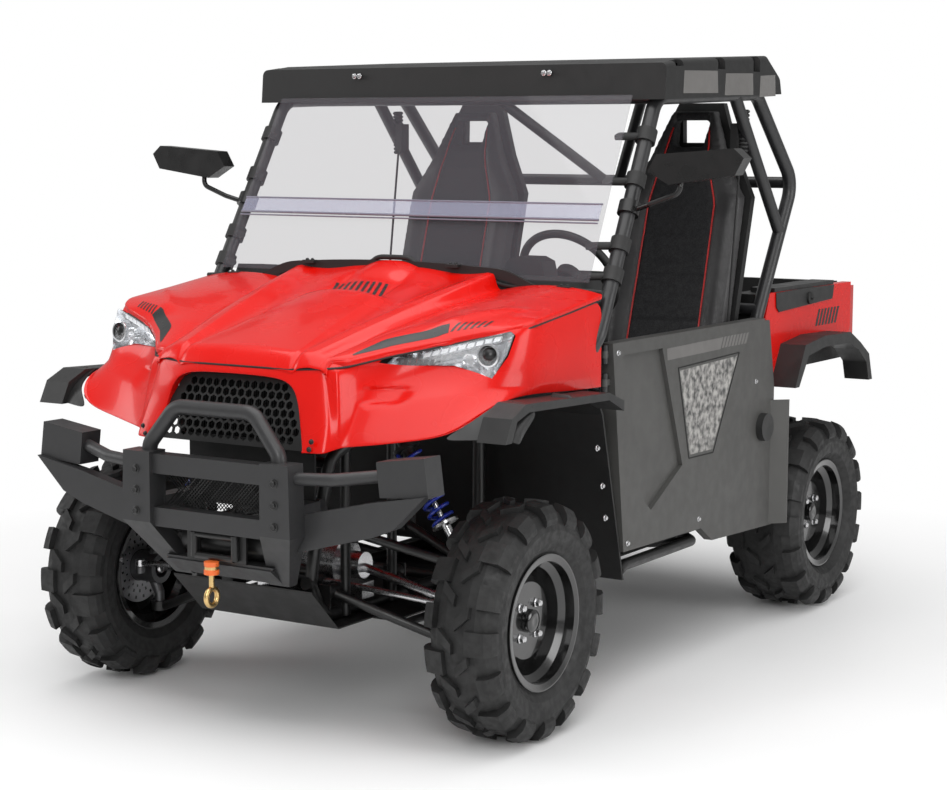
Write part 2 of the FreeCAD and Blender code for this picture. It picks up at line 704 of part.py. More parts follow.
def roof_panel():
    """Moulded roof: a deep skirt round a shell, with four pads on the cage."""
    z = roof_low_z
    side = [(roof_front_y, z), (roof_rear_y, z + roof_rise), (roof_rear_y - 20, z + roof_rise + 70),
            (roof_rear_y - 110, z + roof_rise + roof_depth), (roof_front_y + 120, z + roof_depth),
            (roof_front_y + 10, z + roof_depth - 14)]
    outer = slab(side, "x", -roof_x, roof_x)
    inner = [(roof_front_y + 22, z - 10), (roof_rear_y - 22, z + roof_rise - 10), (roof_rear_y - 46, z + roof_rise + 70),
             (roof_rear_y - 124, z + roof_rise + roof_depth - 12), (roof_front_y + 120, z + roof_depth - 12),
             (roof_front_y + 26, z + roof_depth - 26)]
    hollow = slab(inner, "x", -roof_x + 22, roof_x - 22)
    shell = outer.cut(hollow)
    edges = [e for e in shell.Edges if e.BoundBox.XLength < 1 and abs(abs(e.CenterOfMass.x) - roof_x) < 1
             and e.CenterOfMass.z > z + roof_depth - 20]
    shell = shell.makeFillet(20, edges)
    notches = [box(s * (roof_x - 26), s * (roof_x + 1), y - 26, y + 26, z + roof_depth - 22, z + roof_depth + roof_rise + 9)
               for s in (1, -1) for y in (-186, 115, 385)]
    for notch in notches:
        shell = shell.cut(notch)
    pads = []
    for s in (1, -1):
        for y, top in ((pillar_top_y + 90, cage_top_z), (cage_rear_y - 70, cage_rear_z)):
            pads.append(box(s * (cage_x - 30), s * (cage_x + 20), y - 25, y + 25, top - 4, z + roof_slope(y) + roof_depth - 8))
    shell = fuse([shell] + pads)
    for s in (1, -1):
        shell = shell.cut(bent_tube([(s * 738, pillar_base_y, pillar_base_z), (s * 712, pillar_top_y, cage_top_z),
                                     (s * cage_x, cage_rear_y, cage_rear_z), (s * cage_x, elbow_y, elbow_z)], cage_d + 0.6, 90))
    return [biggest(shell)]


def windshield():
    lean = V(0, glass_top_y - glass_base_y, glass_top_z - glass_base_z)
    low, top = 690.0, 668.0
    corners = [V(-low, glass_base_y, glass_base_z - 20), V(low, glass_base_y, glass_base_z - 20),
               V(top, glass_top_y, glass_top_z), V(-top, glass_top_y, glass_top_z)]
    across = V(0, lean.z, -lean.y).normalize() * glass_wall
    face = Part.Face(Part.makePolygon(corners + [corners[0]]))
    return [face.extrude(across * -1)]


def on_pillar(part):
    """A place along the left front pillar, 0 at its foot and 1 at its top."""
    a = V(738, pillar_base_y, pillar_base_z)
    b = V(712, pillar_top_y, cage_top_z)
    return a + (b - a) * part


def windshield_clamps():
    """Rubber strip along the hood's rear edge, and the clamps from the pillars to the windshield."""
    d = (on_pillar(1) - on_pillar(0)).normalize()
    slope = (glass_top_y - glass_base_y) / (glass_top_z - glass_base_z + 20)
    ahead = slab([(glass_base_y + seat_gap, glass_base_z - 20), (glass_top_y + seat_gap, glass_top_z),
                  (glass_top_y - 300, glass_top_z), (glass_base_y - 300, glass_base_z - 20)], "x", 500, 800)
    clamps = []
    for part in (0.24, 0.366, 0.637, 0.83):
        p = on_pillar(part)
        bore = rod(tuple(p - d * 30), tuple(p + d * 30), cage_d + 0.6)
        glass_y = glass_base_y + (p.z - glass_base_z + 20) * slope
        tab = rod(tuple(p), (650, glass_y - 6, p.z), 24)
        clamps.append(biggest(fuse([rod(tuple(p - d * 22), tuple(p + d * 22), cage_d + 16), tab]).cut(ahead).cut(bore)))
    xs = [680 * part / 10 for part in range(-10, 11)]
    top = Part.BSplineCurve()
    top.interpolate([V(x, cowl_y + seat_gap, hood_height(x, cowl_y) + 16) for x in xs])
    low = Part.BSplineCurve()
    low.interpolate([V(x, cowl_y + seat_gap, hood_height(x, cowl_y) - 14) for x in xs])
    ends = [Part.LineSegment(low.StartPoint, top.StartPoint), Part.LineSegment(low.EndPoint, top.EndPoint)]
    outline = Part.Wire([top.toShape(), ends[1].toShape(), low.toShape(), ends[0].toShape()])
    strip = Part.Face(outline).extrude(V(0, 13.1, 0))
    return both(clamps) + [strip]


def mirrors():
    base = on_pillar(0.52)
    d = (on_pillar(1) - on_pillar(0)).normalize()
    bore = rod(tuple(base - d * 34), tuple(base + d * 34), cage_d + 0.6)
    collar = rod(tuple(base - d * 20), tuple(base + d * 20), cage_d + 20).cut(bore)
    arm = bent_tube([tuple(base + V(27, -8, 0)), (base.x + 80, base.y - 20, base.z + 16), (900, -440, 1535), (905, -430, 1600)], 16, 30)
    head = slab([(800, 1600), (870, 1560), (1085, 1590), (1113, 1640), (1080, 1668), (830, 1650)], "y", -455, -400)
    return both([fuse([arm, head, collar])])


# Bodywork
def hood_height(x, y):
    """Height of the hood: a raised middle between two ribs, a valley, and the fender's top."""
    run = (y - hood_front_y) / (cowl_y - hood_front_y)
    middle = hood_front_z + (cowl_z - hood_front_z) * (0.62 * run + 0.38 * run * run)
    edge = fender_front_z - 60 + (fender_z - fender_front_z + 60) * min(1.0, 0.35 + 0.65 * run)
    rib_x = hood_front_x + (390 - hood_front_x) * run
    across = abs(x)
    if across <= rib_x:
        return middle - 14 * (across / rib_x) ** 2
    part = (across - rib_x) / (body_x - rib_x)
    dip = -34 * math.sin(math.pi * part) ** 2
    return (middle - 14) * (1 - part) + edge * part + dip


def hood_rows(lift):
    """Rows of points over the hood and a little past it, raised by lift."""
    rows = []
    for step in range(10):
        y = hood_front_y - 60 + (cowl_y + 20 - hood_front_y + 60) * step / 9
        rows.append([(x, y, hood_height(x, y) + lift) for x in [(body_x + 25) * part / 8 for part in range(-8, 9)]])
    return rows


def hood_plan():
    corner_y = front_axle_y - 80
    return [(-body_x, cowl_y), (-body_x, corner_y), (-330, hood_front_y + 31), (-hood_front_x, hood_front_y),
            (hood_front_x, hood_front_y), (330, hood_front_y + 31), (body_x, corner_y), (body_x, cowl_y)]


def between(places, at):
    """The value at a place, on straight lines between (place, value) pairs."""
    for (a, low), (b, high) in zip(places, places[1:]):
        if at <= b:
            break
    return low + (high - low) * (at - a) / (b - a)


def vents():
    """Slots through the hood's middle, slanted like the leaves of a louvre."""
    pitch, slant = 20.0, 14.0
    first = cowl_y - 232
    return [slab([(s * 6, y), (s * 92, y + slant), (s * 92, y + slant + 10), (s * 6, y + 10)], "z", 1100, 1400)
            for s in (1, -1) for y in [first + pitch * row for row in range(6)]]


def hood():
    panel = sheet(hood_rows(0), (0, 0, -2 * skin)).common(slab(hood_plan(), "z", 900, 1500))
    for slot in vents():
        panel = panel.cut(slot)
    return [panel]


def nose_y(x, z):
    """Front surface of the bodywork: a jutting nose, then the lamp panels swept back."""
    across = abs(x)
    middle = nose_low_y + (z - nose_low_z) * nose_slope
    outer = fascia_low_y + (z - fascia_low_z) * 0.58 + max(0.0, across - 560) * 0.10
    if across < 296:
        return middle
    if across > 400:
        return outer
    part = (across - 296) / 104
    smooth = part * part * (3 - 2 * part)
    return middle * (1 - smooth) + outer * smooth


def above_hood():
    """The space from just under the hood upwards, which other panels keep out of."""
    return sheet(hood_rows(-2 * skin - seat_gap), (0, 0, 400))


def fascia_outline():
    """Front view of the fascia: lamp panels outside, and the legs beside the grille's opening."""
    return lamp_mirror([(0, 1200), (body_x, 1200), (body_x, fascia_low_z + 60), (660, fascia_low_z),
                        (340, nose_low_z), (272, nose_low_z), (240, 900), (176, 1030), (0, 1034)])


def front_fascia():
    """Fascia with the grille's and lamps' openings, and the fender sides behind it."""
    rows = []
    columns = [body_x * part / 24 for part in range(-24, 25)]
    for step in range(6):
        z = nose_low_z + (1220 - nose_low_z) * step / 5
        rows.append([(x, nose_y(x, z), z) for x in columns])
    ahead, behind = -front_reach - 40, front_axle_y + 40
    front = sheet(rows, (0, skin * 2, 0)).common(slab(fascia_outline(), "y", ahead, behind))
    for hole in both([slab(lamp_outline(), "y", ahead, behind)]):
        front = front.cut(hole)
    front = biggest(front.cut(above_hood()))
    y = front_axle_y
    side_outline = [(fascia_low_y + 6, fascia_low_z), (y - 250, 950), (y - 175, arch_z + 8), (y + 298, arch_z - 8),
                    (cowl_y - 54, 1110), (cowl_y - 4, fender_z - 8), (y + 51, 1186), (fender_front_y, fender_front_z - 2)]
    side = slab(side_outline, "x", body_x - 2 * skin, body_x - 0.5).cut(above_hood())
    return [front] + [biggest(side.cut(front)) for side in both([side])]


def lamp_outline():
    return [(384, 1050), (400, 1090), (500, 1112), (700, 1150), (700, 1120), (640, 1040), (520, 1050)]


def lamp_mirror(points):
    """A closed outline from its left half, which starts and ends on the centre plane."""
    return points + [(-x, z) for x, z in reversed(points[1:-1])]


def grille_mesh():
    """Honeycomb plate seated behind the fascia's opening, at the nose's slope."""
    low, high = nose_low_z + 6, 1042.0
    behind = skin * 2 + seat_gap
    low_y = nose_low_y + (low - nose_low_z) * nose_slope
    high_y = nose_low_y + (high - nose_low_z) * nose_slope
    side = [(low_y + behind, low), (high_y + behind, high), (high_y + behind + 6, high), (low_y + behind + 6, low)]
    outline = lamp_mirror([(0, high), (188, high), (254, 905), (284, low), (0, low)])
    plate = slab(side, "x", -300, 300).common(slab(outline, "y", nose_low_y - 34, nose_low_y + 166))
    return [plate.cut(Part.makeCompound(honeycomb(low + 24, high - 26)))]


def honeycomb(low, high):
    """Six-sided cells in staggered rows, over the part of the grille between two heights."""
    cell, pitch = 12.0, 27.0
    step = pitch * math.sqrt(3) / 2
    cells = []
    for row in range(int((high - low) / step) + 1):
        z = low + row * step
        reach = between([(800, 270), (905, 224), (1042, 158)], z)
        for column in range(-12, 13):
            x = (column + 0.5 * (row % 2)) * pitch
            if abs(x) > reach:
                continue
            corners = [(x + cell * math.sin(math.radians(60 * k)), z + cell * math.cos(math.radians(60 * k))) for k in range(6)]
            cells.append(slab(corners, "y", nose_low_y - 34, nose_low_y + 166))
    return cells


def headlights():
    body = biggest(slab(lamp_outline(), "y", front_axle_y - 195, front_axle_y - 50).cut(above_hood()))
    return both([body])


def front_flares():
    """Black arch flares: a ledge out from the body with a turned-down lip."""
    y = front_axle_y
    inner = [(y - 283, 885), (y - 250, 950), (y - 175, arch_z + 8), (y + 298, arch_z - 8), (y + 390, arch_z - 40)]
    under = [(y + 390, arch_z - 70), (y + 298, arch_z - 30), (y - 160, arch_z - 16), (y - 222, 940), (y - 250, 885)]
    return both([slab(inner + under, "x", body_x, flare_x)])


def guard_y(z):
    """Front face of the inner mudguard at height z."""
    return -470 - (z - 357) * 0.27


def arch_liners():
    """Inner mudguards behind the front wheels, with the edge in front of each door."""
    low, high = 357.0, 880.0
    guard = slab([(guard_y(low), low), (guard_y(high), high), (-640, 925), (-632, 930), (guard_y(high + 4) + 8, high + 4),
                  (guard_y(low) + 8, low)], "x", 360, 742)
    return both([guard])


# Bumper and winch
def bumper_post(s):
    """Bumper post of bent plate: upright above, then swept back and in, with its foot to the frame."""
    y = -front_reach
    outline = [(195, 812), (292, 812), (298, 610), (205, 448), (138, 448), (195, 610)]
    front = slab([(s * x, z) for x, z in outline], "y", y + 260, y)
    side = slab([(y, 812), (y, 610), (y + 120, 448), (y + 155, 448), (y + 70, 620), (y + 70, 812)], "x", -400, 400)
    foot = box(s * 190, s * 240, y + 60, y + 220, 620, 680)
    return fuse([front.common(side), foot])


def less(shape, others):
    """A shape cut back to where the others begin."""
    for other in others:
        shape = shape.cut(other)
    return biggest(shape)


def front_bumper():
    """The bumper's two posts, with the crossbars and the low skid plate that seat between them."""
    y = -front_reach
    posts = [bumper_post(1), bumper_post(-1)]
    bars = [box(-200, 200, y + 15, y + 63, low, high) for low, high in ((749, 805), (598, 652))]
    apron = slab([(y + 60, 500), (y + 120, 452), (y + 128, 456), (y + 70, 506)], "x", -185, 185)
    skid = fuse([apron, box(-190, 190, y + 65, y + 215, 503, 509)])
    return posts + [less(piece, posts) for piece in bars + [skid]]


def bumper_guards():
    """The hoop on top of the bumper, and the swept wing on each side of it."""
    y = -front_reach
    hoop = [(-232, y + 45, 800), (-229, y + 45, 830), (-139, y + 52, 940), (139, y + 52, 940), (229, y + 45, 830),
            (232, y + 45, 800)]
    pieces = [bent_tube(hoop, 44, 60)]
    for s in (1, -1):
        brace = bent_tube([(s * 285, y + 40, 772), (s * 400, y + 60, 776), (s * 540, y + 120, 792)], 36, 60)
        wing = [(s * 262, 662), (s * 514, 722), (s * 690, 754), (s * 588, 656), (s * 513, 626), (s * 262, 558)]
        upper = [(s * 523, 832), (s * 676, 854), (s * 690, 748), (s * 535, 736)]
        pieces.append(fuse([brace, slab(wing, "y", y + 70, y + 110), slab(upper, "y", y + 85, y + 165)]))
    posts = front_bumper()
    return [less(piece, posts) for piece in pieces]


def winch():
    """Roller fairlead in front of the lower crossbar, and the winch's drum behind it."""
    y = -front_reach
    plate = box(-105, 105, y + 54, y + 62, 512, 597.7).cut(box(-60, 60, y + 40, y + 70, 528, 578))
    rollers = [rod((s * 72, y + 46, 520), (s * 72, y + 46, 590), 22) for s in (1, -1)]
    rollers += [rod((-68, y + 47, z), (68, y + 47, z), 20) for z in (524, 584)]
    motor = rod((-150, y + 130, 557.3), (150, y + 130, 557.3), 96)
    return [fuse([plate] + rollers), motor]


def winch_hook():
    """Rubber stopper under the fairlead, and the hook that hangs from it."""
    y = 32 - front_reach
    stopper = rod((0, y, 513.7), (0, y, 478), 40)
    shank = rod((0, y, 482), (0, y, 440), 16)
    ring = Part.makeTorus(24, 8, V(0, y, 412), V(1, 0, 0))
    return [fuse([stopper, shank, ring])]


# Cab
def wall_y(z):
    """Rear face of the firewall at height z."""
    return guard_y(min(z, 880.0)) + 8 + seat_gap + 6


def cab_tub():
    """Floor, firewall, seat risers and rear wall of the cab."""
    floor = box(-690, 690, wall_y(floor_z) - 2, 440, floor_z, floor_z + 6)
    top = 1080.0
    wall = slab([(wall_y(floor_z) - 6, floor_z), (wall_y(880) - 6, 880), (wall_y(880) - 6, top), (wall_y(880), top),
                 (wall_y(880), 880), (wall_y(floor_z), floor_z)], "x", -686, 686)
    rear = slab([(420, floor_z), (500, 740), (506, 740), (426, floor_z)], "x", -560, 560)
    bases = both([box(seat_x - 220, seat_x + 200, -60, 400, floor_z, 800)])
    return [fuse([floor, wall, rear] + bases)]


def dashboard():
    front = wall_y(1000) + seat_gap
    outline = [(front, 960), (front, 1230), (front + 30, 1282), (-440, 1275), (-405, 1200), (-430, 1000)]
    block = slab(outline, "x", -655, 655)
    pod = [(steer_x - 75, 1270), (steer_x - 62, 1322), (steer_x - 30, 1336), (steer_x + 30, 1336), (steer_x + 62, 1322),
           (steer_x + 75, 1270)]
    block = fuse([block, slab(pod, "y", -520, -436)])
    centre = V(steer_x, steer_y, steer_z)
    hole = rod(tuple(centre), tuple(centre - steering_axis() * 400), 60 + 2 * seat_gap)
    return [block.cut(hole)]


def steering_axis():
    angle = math.radians(column_angle)
    return V(0, math.cos(angle), math.sin(angle))


def steering_column():
    centre = V(steer_x, steer_y, steer_z)
    a = centre - steering_axis() * (36 + seat_gap)
    b = centre - steering_axis() * 300
    return [rod(tuple(a), tuple(b), 60)]


def steering_wheel():
    centre = V(steer_x, steer_y, steer_z)
    axis = steering_axis()
    ring = Part.makeTorus((wheel_rim_d - wheel_grip_d) / 2, wheel_grip_d / 2, centre, axis)
    hub = rod(tuple(centre - axis * 36), tuple(centre + axis * 4), 90)
    up = V(0, -axis.z, axis.y)
    spokes = []
    for along in (V(1, 0, 0), V(-1, 0, 0), up * -1):
        tip = centre + along * (wheel_rim_d / 2 - wheel_grip_d)
        spokes.append(rod(tuple(centre - axis * 10), tuple(tip), 24))
    return [fuse([ring, hub] + spokes)]


def steering_rack():
    """Rack bar and tie rods, whose ends lie just above the steering arms."""
    y = front_axle_y - steer_arm
    tube = rod((-170, y, rack_z), (170, y, rack_z), tie_rod_d)
    pieces = [tube]
    for s in (1, -1):
        pieces.append(rod((s * 160, y, rack_z), (s * kingpin_x, y, rack_z - 26), tie_rod_d))
        pieces.append(rod((s * kingpin_x, y, rack_z - 35), (s * kingpin_x, y, rack_z - 15), 30))
    return [fuse(pieces)]


def seat_back_points(z):
    """Y of the seat back's front face at height z."""
    return 330 + (z - 900) * 0.26


def seat_shells():
    """Moulded seat shells with an open headrest, and the pans under the cushions."""
    low_y = seat_back_points(830)
    top_y = seat_back_points(back_top_z)
    side = [(low_y + 64, 830), (top_y + 64, back_top_z), (top_y + 94, back_top_z), (low_y + 94, 830)]
    front = [(seat_x - 225, 830), (seat_x + 225, 830), (seat_x + 235, 1500), (seat_x + 160, 1640), (seat_x + 85, back_top_z),
             (seat_x - 85, back_top_z), (seat_x - 160, 1640), (seat_x - 235, 1500)]
    back = slab(side, "x", 0, 900).common(slab(front, "y", 200, 900))
    pan = box(seat_x - 225, seat_x + 225, -110, 430, 800.3, 835)
    return both([fuse([back.cut(headrest_hole()), pan])])


def headrest_hole():
    return slab([(seat_x - 50, 1685), (seat_x + 50, 1685), (seat_x + 62, 1765), (seat_x - 62, 1765)], "y", 200, 900)


def seat_cushions():
    side = [(-120, 835.3), (330, 835.3), (290, 905), (-60, 950), (-125, 930)]
    return both([slab(side, "x", seat_x - seat_w / 2, seat_x + seat_w / 2)])


def seat_backs():
    low, high = 910.0, back_top_z - 10
    thick = 90.0
    side = [(seat_back_points(low) + 63.7 - thick, low), (seat_back_points(high) + 63.7 - thick * 0.7, high),
            (seat_back_points(high) + 63.7, high), (seat_back_points(low) + 63.7, low)]
    front = [(seat_x - 235, low), (seat_x + 235, low), (seat_x + 235, 1500), (seat_x + 155, 1640), (seat_x + 80, high),
             (seat_x - 80, high), (seat_x - 155, 1640), (seat_x - 235, 1500)]
    back = slab(side, "x", 0, 900).common(slab(front, "y", 200, 900))
    return both([back.cut(headrest_hole())])


def seat_belts():
    edge = cage_x - cage_d / 2 - 1.1
    reel = box(664, edge, 415, 465, 1650, 1750)
    strap = slab([(434, 1650), (442, 1650), (330, 840), (322, 840)], "x", 690.5, 694.5)
    top = box(680, 694.5, 430, 446, 1640, 1651)
    return both([fuse([reel, strap, top])])


# Doors and sides
def door_outline():
    return [(-564, 1090), (537, 1090), (500, 860), (200, 600), (60, 436), (-480, 446)]


def door():
    """Half door with a hollowed outer face, and its halves of the hinges."""
    panel = slab(door_outline(), "x", door_x - door_wall, door_x)
    hollow = slab([(-498, 1050), (-236, 1050), (-84, 664), (-300, 550), (-366, 600)], "x", door_x - 14, door_x + 1)
    leaves = [box(hinge_x - 6, hinge_x + 6, hinge_y + 8, -540, z + 19, z + 37) for z in hinge_rows]
    return fuse([panel.cut(hollow)] + leaves + [moving for fixed, moving in door_hinges()])


def side_panels():
    """Fixed lower quarter panels, which flare out to the rear wheels and seat on the cage's rear foot."""
    front_edge = [(68, 436), (206, 600), (506, 860), (543, 1080)]
    outline = [(160, 380)] + front_edge + [(590, 1080), (640, 850), (640, 360)]
    panel = slab(outline, "x", door_x - 36, door_x - 6)
    wing = [(door_x - 20, 600), (790, 662), (790, 670), (door_x - 26, 608)]
    corner = slab(wing, "z", 365, 800)
    saddle = box(676, door_x - 30, 586, 614, 900, 940)
    tube = rod((690, hoop_low_y, hoop_low_z), (660, seat_frame_y, 801), cage_d + 2 * seat_gap)
    return both([fuse([panel, corner, biggest(saddle.cut(tube))])])


def fuel_cap():
    cap = rod((door_x - 6, 540, 715), (door_x + 18, 540, 715), 96)
    return [cap, mirrored(cap)]


# Bed
def gate_hinges():
    """The two hinges of the tailgate along its low edge."""
    start = gate_hinge_x - 30
    return [hinge((s * start, gate_hinge_y, gate_hinge_z), (s, 0, 0), 100, 18, 9) for s in (1, -1)]


def lid_hinges():
    """The two hinges of the left storage lid along its inner edge."""
    return [hinge((lid_hinge_x, y, bed_top_z + 5), (0, 1, 0), 80, 12, 6) for y in lid_hinge_rows()]


def lid_hinge_rows():
    """Where the storage lid's two hinges start."""
    return lid_front_y + 30, lid_rear_y - 160


def cargo_bed():
    """Open bed with its tilt arms and the fixed halves of the tailgate's and lids' hinges."""
    x = bed_x - bed_wall
    outer = box(-x, x, bed_front_y, bed_rear_y, bed_floor_z - 30, bed_top_z - 6)
    inner = box(-x + bed_wall + 60, x - bed_wall - 60, bed_front_y + bed_wall, bed_rear_y + 1, bed_floor_z, bed_top_z)
    pieces = [outer.cut(inner)]
    for s in (1, -1):
        arm = slab([(tilt_y - 70, bed_floor_z - 30), (tilt_y + 60, bed_floor_z - 30), (tilt_y + 26, tilt_z - 20),
                    (tilt_y - 26, tilt_z - 20)], "x", s * (tilt_lug_x - 7), s * (tilt_lug_x + 7))
        bore = rod((s * (tilt_lug_x - 20), tilt_y, tilt_z), (s * (tilt_lug_x + 20), tilt_y, tilt_z), tilt_pin_d)
        pieces.append(arm.cut(bore))
        for x0 in (gate_hinge_x - 30, gate_hinge_x + 40):
            pieces.append(box(s * x0, s * (x0 + 30), bed_rear_y - 4, gate_hinge_y - 5, gate_hinge_z - 9, gate_hinge_z))
    lid_posts = [box(lid_hinge_x - 6, lid_hinge_x + 4, low, low + 24, bed_top_z - 16, bed_top_z + 2)
                 for y in lid_hinge_rows() for low in (y, y + 56)]
    fixed = [half for half, moving in gate_hinges()] + both([half for half, moving in lid_hinges()])
    return [fuse(pieces + fixed + both(lid_posts))]


def rear_panels():
    """Red side panels of the bed, cut round the rear arch."""
    y = rear_axle_y
    arch = [(y - 335, 836), (y - 250, 980), (y - 70, 1000), (y + 170, 995), (y + 270, 950), (bed_rear_y - 40, 920)]
    outline = [(690, 1165), (655, 1085), (655, 850)] + arch + [(bed_rear_y, 1000), (bed_rear_y, 1165)]
    return both([slab(outline, "x", bed_x - bed_wall + seat_gap, bed_x)])


def rear_flares():
    y = rear_axle_y
    inner = [(y - 335, 836), (y - 250, 980), (y - 70, 1000), (y + 170, 995), (y + 270, 950), (bed_rear_y - 40, 900),
             (bed_rear_y - 3, 800)]
    back = [(bed_rear_y - 40, 800), (y + 335, 870), (y + 250, 925), (y + 160, 955), (y - 70, 960), (y - 220, 940),
            (y - 300, 836)]
    return both([slab(inner + back, "x", bed_x, rear_flare_x)])


def tail_lamps():
    return both([box(bed_x - 60, bed_x - 5, bed_rear_y + seat_gap, bed_rear_y + 40, 960, 1150)])


def storage_lids():
    """A lid over the bed's side, with its halves of the hinges."""
    plate = box(bed_x - 88, bed_x - 1, lid_front_y, lid_rear_y, bed_top_z - 3 + seat_gap, bed_top_z + 12)
    leaves = [box(lid_hinge_x + 4, bed_x - 86, y + 26, y + 54, bed_top_z + 2, bed_top_z + 9) for y in lid_hinge_rows()]
    return fuse([plate] + leaves + [moving for half, moving in lid_hinges()])


def tailgate():
    panel = box(-bed_x + 70, bed_x - 70, bed_rear_y + 6, bed_rear_y + 6 + gate_wall, gate_hinge_z + 12, bed_top_z - 4)
    for s in (1, -1):
        panel = panel.cut(box(s * 40, s * 560, bed_rear_y + gate_wall, bed_rear_y + gate_wall + 7, gate_hinge_z + 60, bed_top_z - 60))
    pieces = [panel] + [moving for half, moving in gate_hinges()]
    for s in (1, -1):
        pieces.append(box(s * (gate_hinge_x + 1), s * (gate_hinge_x + 39), gate_hinge_y - 4, gate_hinge_y + 9, gate_hinge_z + 6,
                          gate_hinge_z + 16))
    return [fuse(pieces)]


def build():
    wheels()
    for name, section in zip(("front_subframe", "chassis_frame", "rear_subframe"), frames()):
        save(name, section)
    save("belly_pan", belly_pan())
    save("engine", engine())
    save("exhaust", exhaust())
    save("hitch_receiver", hitch_receiver())
    save("knuckle_left", [knuckle()])
    save("knuckle_right", [mirrored(knuckle())])
    save("rear_uprights", both([rear_upright()]))
    save("front_arms", front_arms())
    save("rear_arms", rear_arms())
    save("shocks", shocks())
    save("drive_shafts", drive_shafts())
    save("steering_rack", steering_rack())
    save("roll_cage", roll_cage())
    save("roof_panel", roof_panel())
    save("windshield", windshield())
    save("windshield_clamps", windshield_clamps())
    save("mirrors", mirrors())
    save("hood", hood())
    save("front_fascia", front_fascia())
    save("grille_mesh", grille_mesh())
    save("headlights", headlights())
    save("front_flares", front_flares())
    save("arch_liners", arch_liners())
    save("front_bumper", front_bumper())
    save("bumper_guards", bumper_guards())
    save("winch", winch())
    save("winch_hook", winch_hook())
    save("cab_tub", cab_tub())
    save("dashboard", dashboard())
    save("steering_column", steering_column())
    save("steering_wheel", steering_wheel())
    save("seat_shells", seat_shells())
    save("seat_cushions", seat_cushions())
    save("seat_backs", seat_backs())
    save("seat_belts", seat_belts())
    save("door_left", [door()])
    save("door_right", [mirrored(door())])
    save("side_panels", side_panels())
    save("fuel_cap", fuel_cap())
    save("cargo_bed", cargo_bed())
    save("rear_panels", rear_panels())
    save("rear_flares", rear_flares())
    save("tail_lamps", tail_lamps())
    save("lid_left", [storage_lids()])
    save("lid_right", [mirrored(storage_lids())])
    save("tailgate", tailgate())


build()
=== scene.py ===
# %% [markdown]
# A two-seat utility vehicle, dressed around its CAD frame.
# The frame holds every load-bearing piece at its real place: tubes, panels, suspension, wheels and
# cab. The whole vehicle could be modelled in Blender, but then nothing would fit its CAD twin to
# the millimetre. So this lesson starts from the frame and adds the trim: smoother body skins,
# lamps, stripes, springs, bolts, padded seats and a finish for everything.
# Lengths are in metres, +X is the vehicle's left, -Y its front and +Z is up.

# %% Load the frame
import math

import bmesh
import bpy
from mathutils import Matrix, Vector
from mathutils.bvhtree import BVHTree


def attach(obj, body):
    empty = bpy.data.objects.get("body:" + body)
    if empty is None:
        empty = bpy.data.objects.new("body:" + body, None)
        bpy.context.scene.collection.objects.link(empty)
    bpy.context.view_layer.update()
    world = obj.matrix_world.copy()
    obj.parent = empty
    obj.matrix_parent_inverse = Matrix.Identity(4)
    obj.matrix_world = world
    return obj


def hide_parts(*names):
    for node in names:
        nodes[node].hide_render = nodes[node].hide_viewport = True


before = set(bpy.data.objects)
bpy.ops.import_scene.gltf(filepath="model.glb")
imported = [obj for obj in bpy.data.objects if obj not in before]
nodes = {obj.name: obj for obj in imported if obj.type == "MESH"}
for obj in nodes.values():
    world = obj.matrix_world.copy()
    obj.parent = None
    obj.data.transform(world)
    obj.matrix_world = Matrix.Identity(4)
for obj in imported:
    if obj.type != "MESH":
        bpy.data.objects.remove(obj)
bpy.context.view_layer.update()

# %% [markdown]
# The hood and the fascia are glossy plastic with the colour all through. A finish could come from
# pictures wrapped round each mesh, but every mesh would then need a flat layout. One Principled
# shader with plain values needs none, so each finish starts as that. The red is deep and reflects
# little, because a pale studio would otherwise wash it out to pink.

# %% A plain finish, and the body's red
def shader_of(material):
    """The material's Principled shader."""
    return material.node_tree.nodes["Principled BSDF"]


def finish(name, colour, roughness, metallic=0.0, coat=0.0, coat_roughness=0.1):
    """A material with one Principled shader in a plain colour."""
    material = bpy.data.materials.new(name)
    material.use_nodes = True
    inputs = shader_of(material).inputs
    inputs["Base Color"].default_value = (*colour, 1)
    inputs["Roughness"].default_value = roughness
    inputs["Metallic"].default_value = metallic
    inputs["Coat Weight"].default_value = coat
    inputs["Coat Roughness"].default_value = coat_roughness
    return material


red = finish("body_red", (0.66, 0.004, 0.001), 0.24, coat=0.22, coat_roughness=0.04)
shader_of(red).inputs["Specular IOR Level"].default_value = 0.25
print("first finish", red.name)

# %% [markdown]
# No real panel is equally glossy all over: hands, dust and the mould leave it a little uneven. A
# painted map could say where, but the exact spots don't matter. Noise does it in three nodes. It
# reads object coordinates, in which every mesh keeps its real size, so a patch of 0.12 is twelve
# centimetres across on any piece.

# %% Uneven gloss
noise_low, noise_high = 0.35, 0.65  # a noise seldom leaves this range


def noise(material, size, detail=2.0):
    """Noise whose spots are about size metres across, in object coordinates."""
    tree = material.node_tree
    place = tree.nodes.new("ShaderNodeTexCoord")
    texture = tree.nodes.new("ShaderNodeTexNoise")
    texture.inputs["Scale"].default_value = 1 / size
    texture.inputs["Detail"].default_value = detail
    tree.links.new(place.outputs["Object"], texture.inputs["Vector"])
    return texture.outputs["Fac"]


def spread(material, value, low, high):
    """Stretches the middle of a noise to run from low to high."""
    node = material.node_tree.nodes.new("ShaderNodeMapRange")
    node.inputs["From Min"].default_value = noise_low
    node.inputs["From Max"].default_value = noise_high
    node.inputs["To Min"].default_value = low
    node.inputs["To Max"].default_value = high
    material.node_tree.links.new(value, node.inputs["Value"])
    return node.outputs["Result"]


def uneven_gloss(material, size, low, high):
    """Roughness that drifts between low and high over patches of the given size."""
    value = spread(material, noise(material, size), low, high)
    material.node_tree.links.new(value, shader_of(material).inputs["Roughness"])


uneven_gloss(red, 0.12, 0.22, 0.30)
print(red.name, "has", len(red.node_tree.nodes), "nodes")

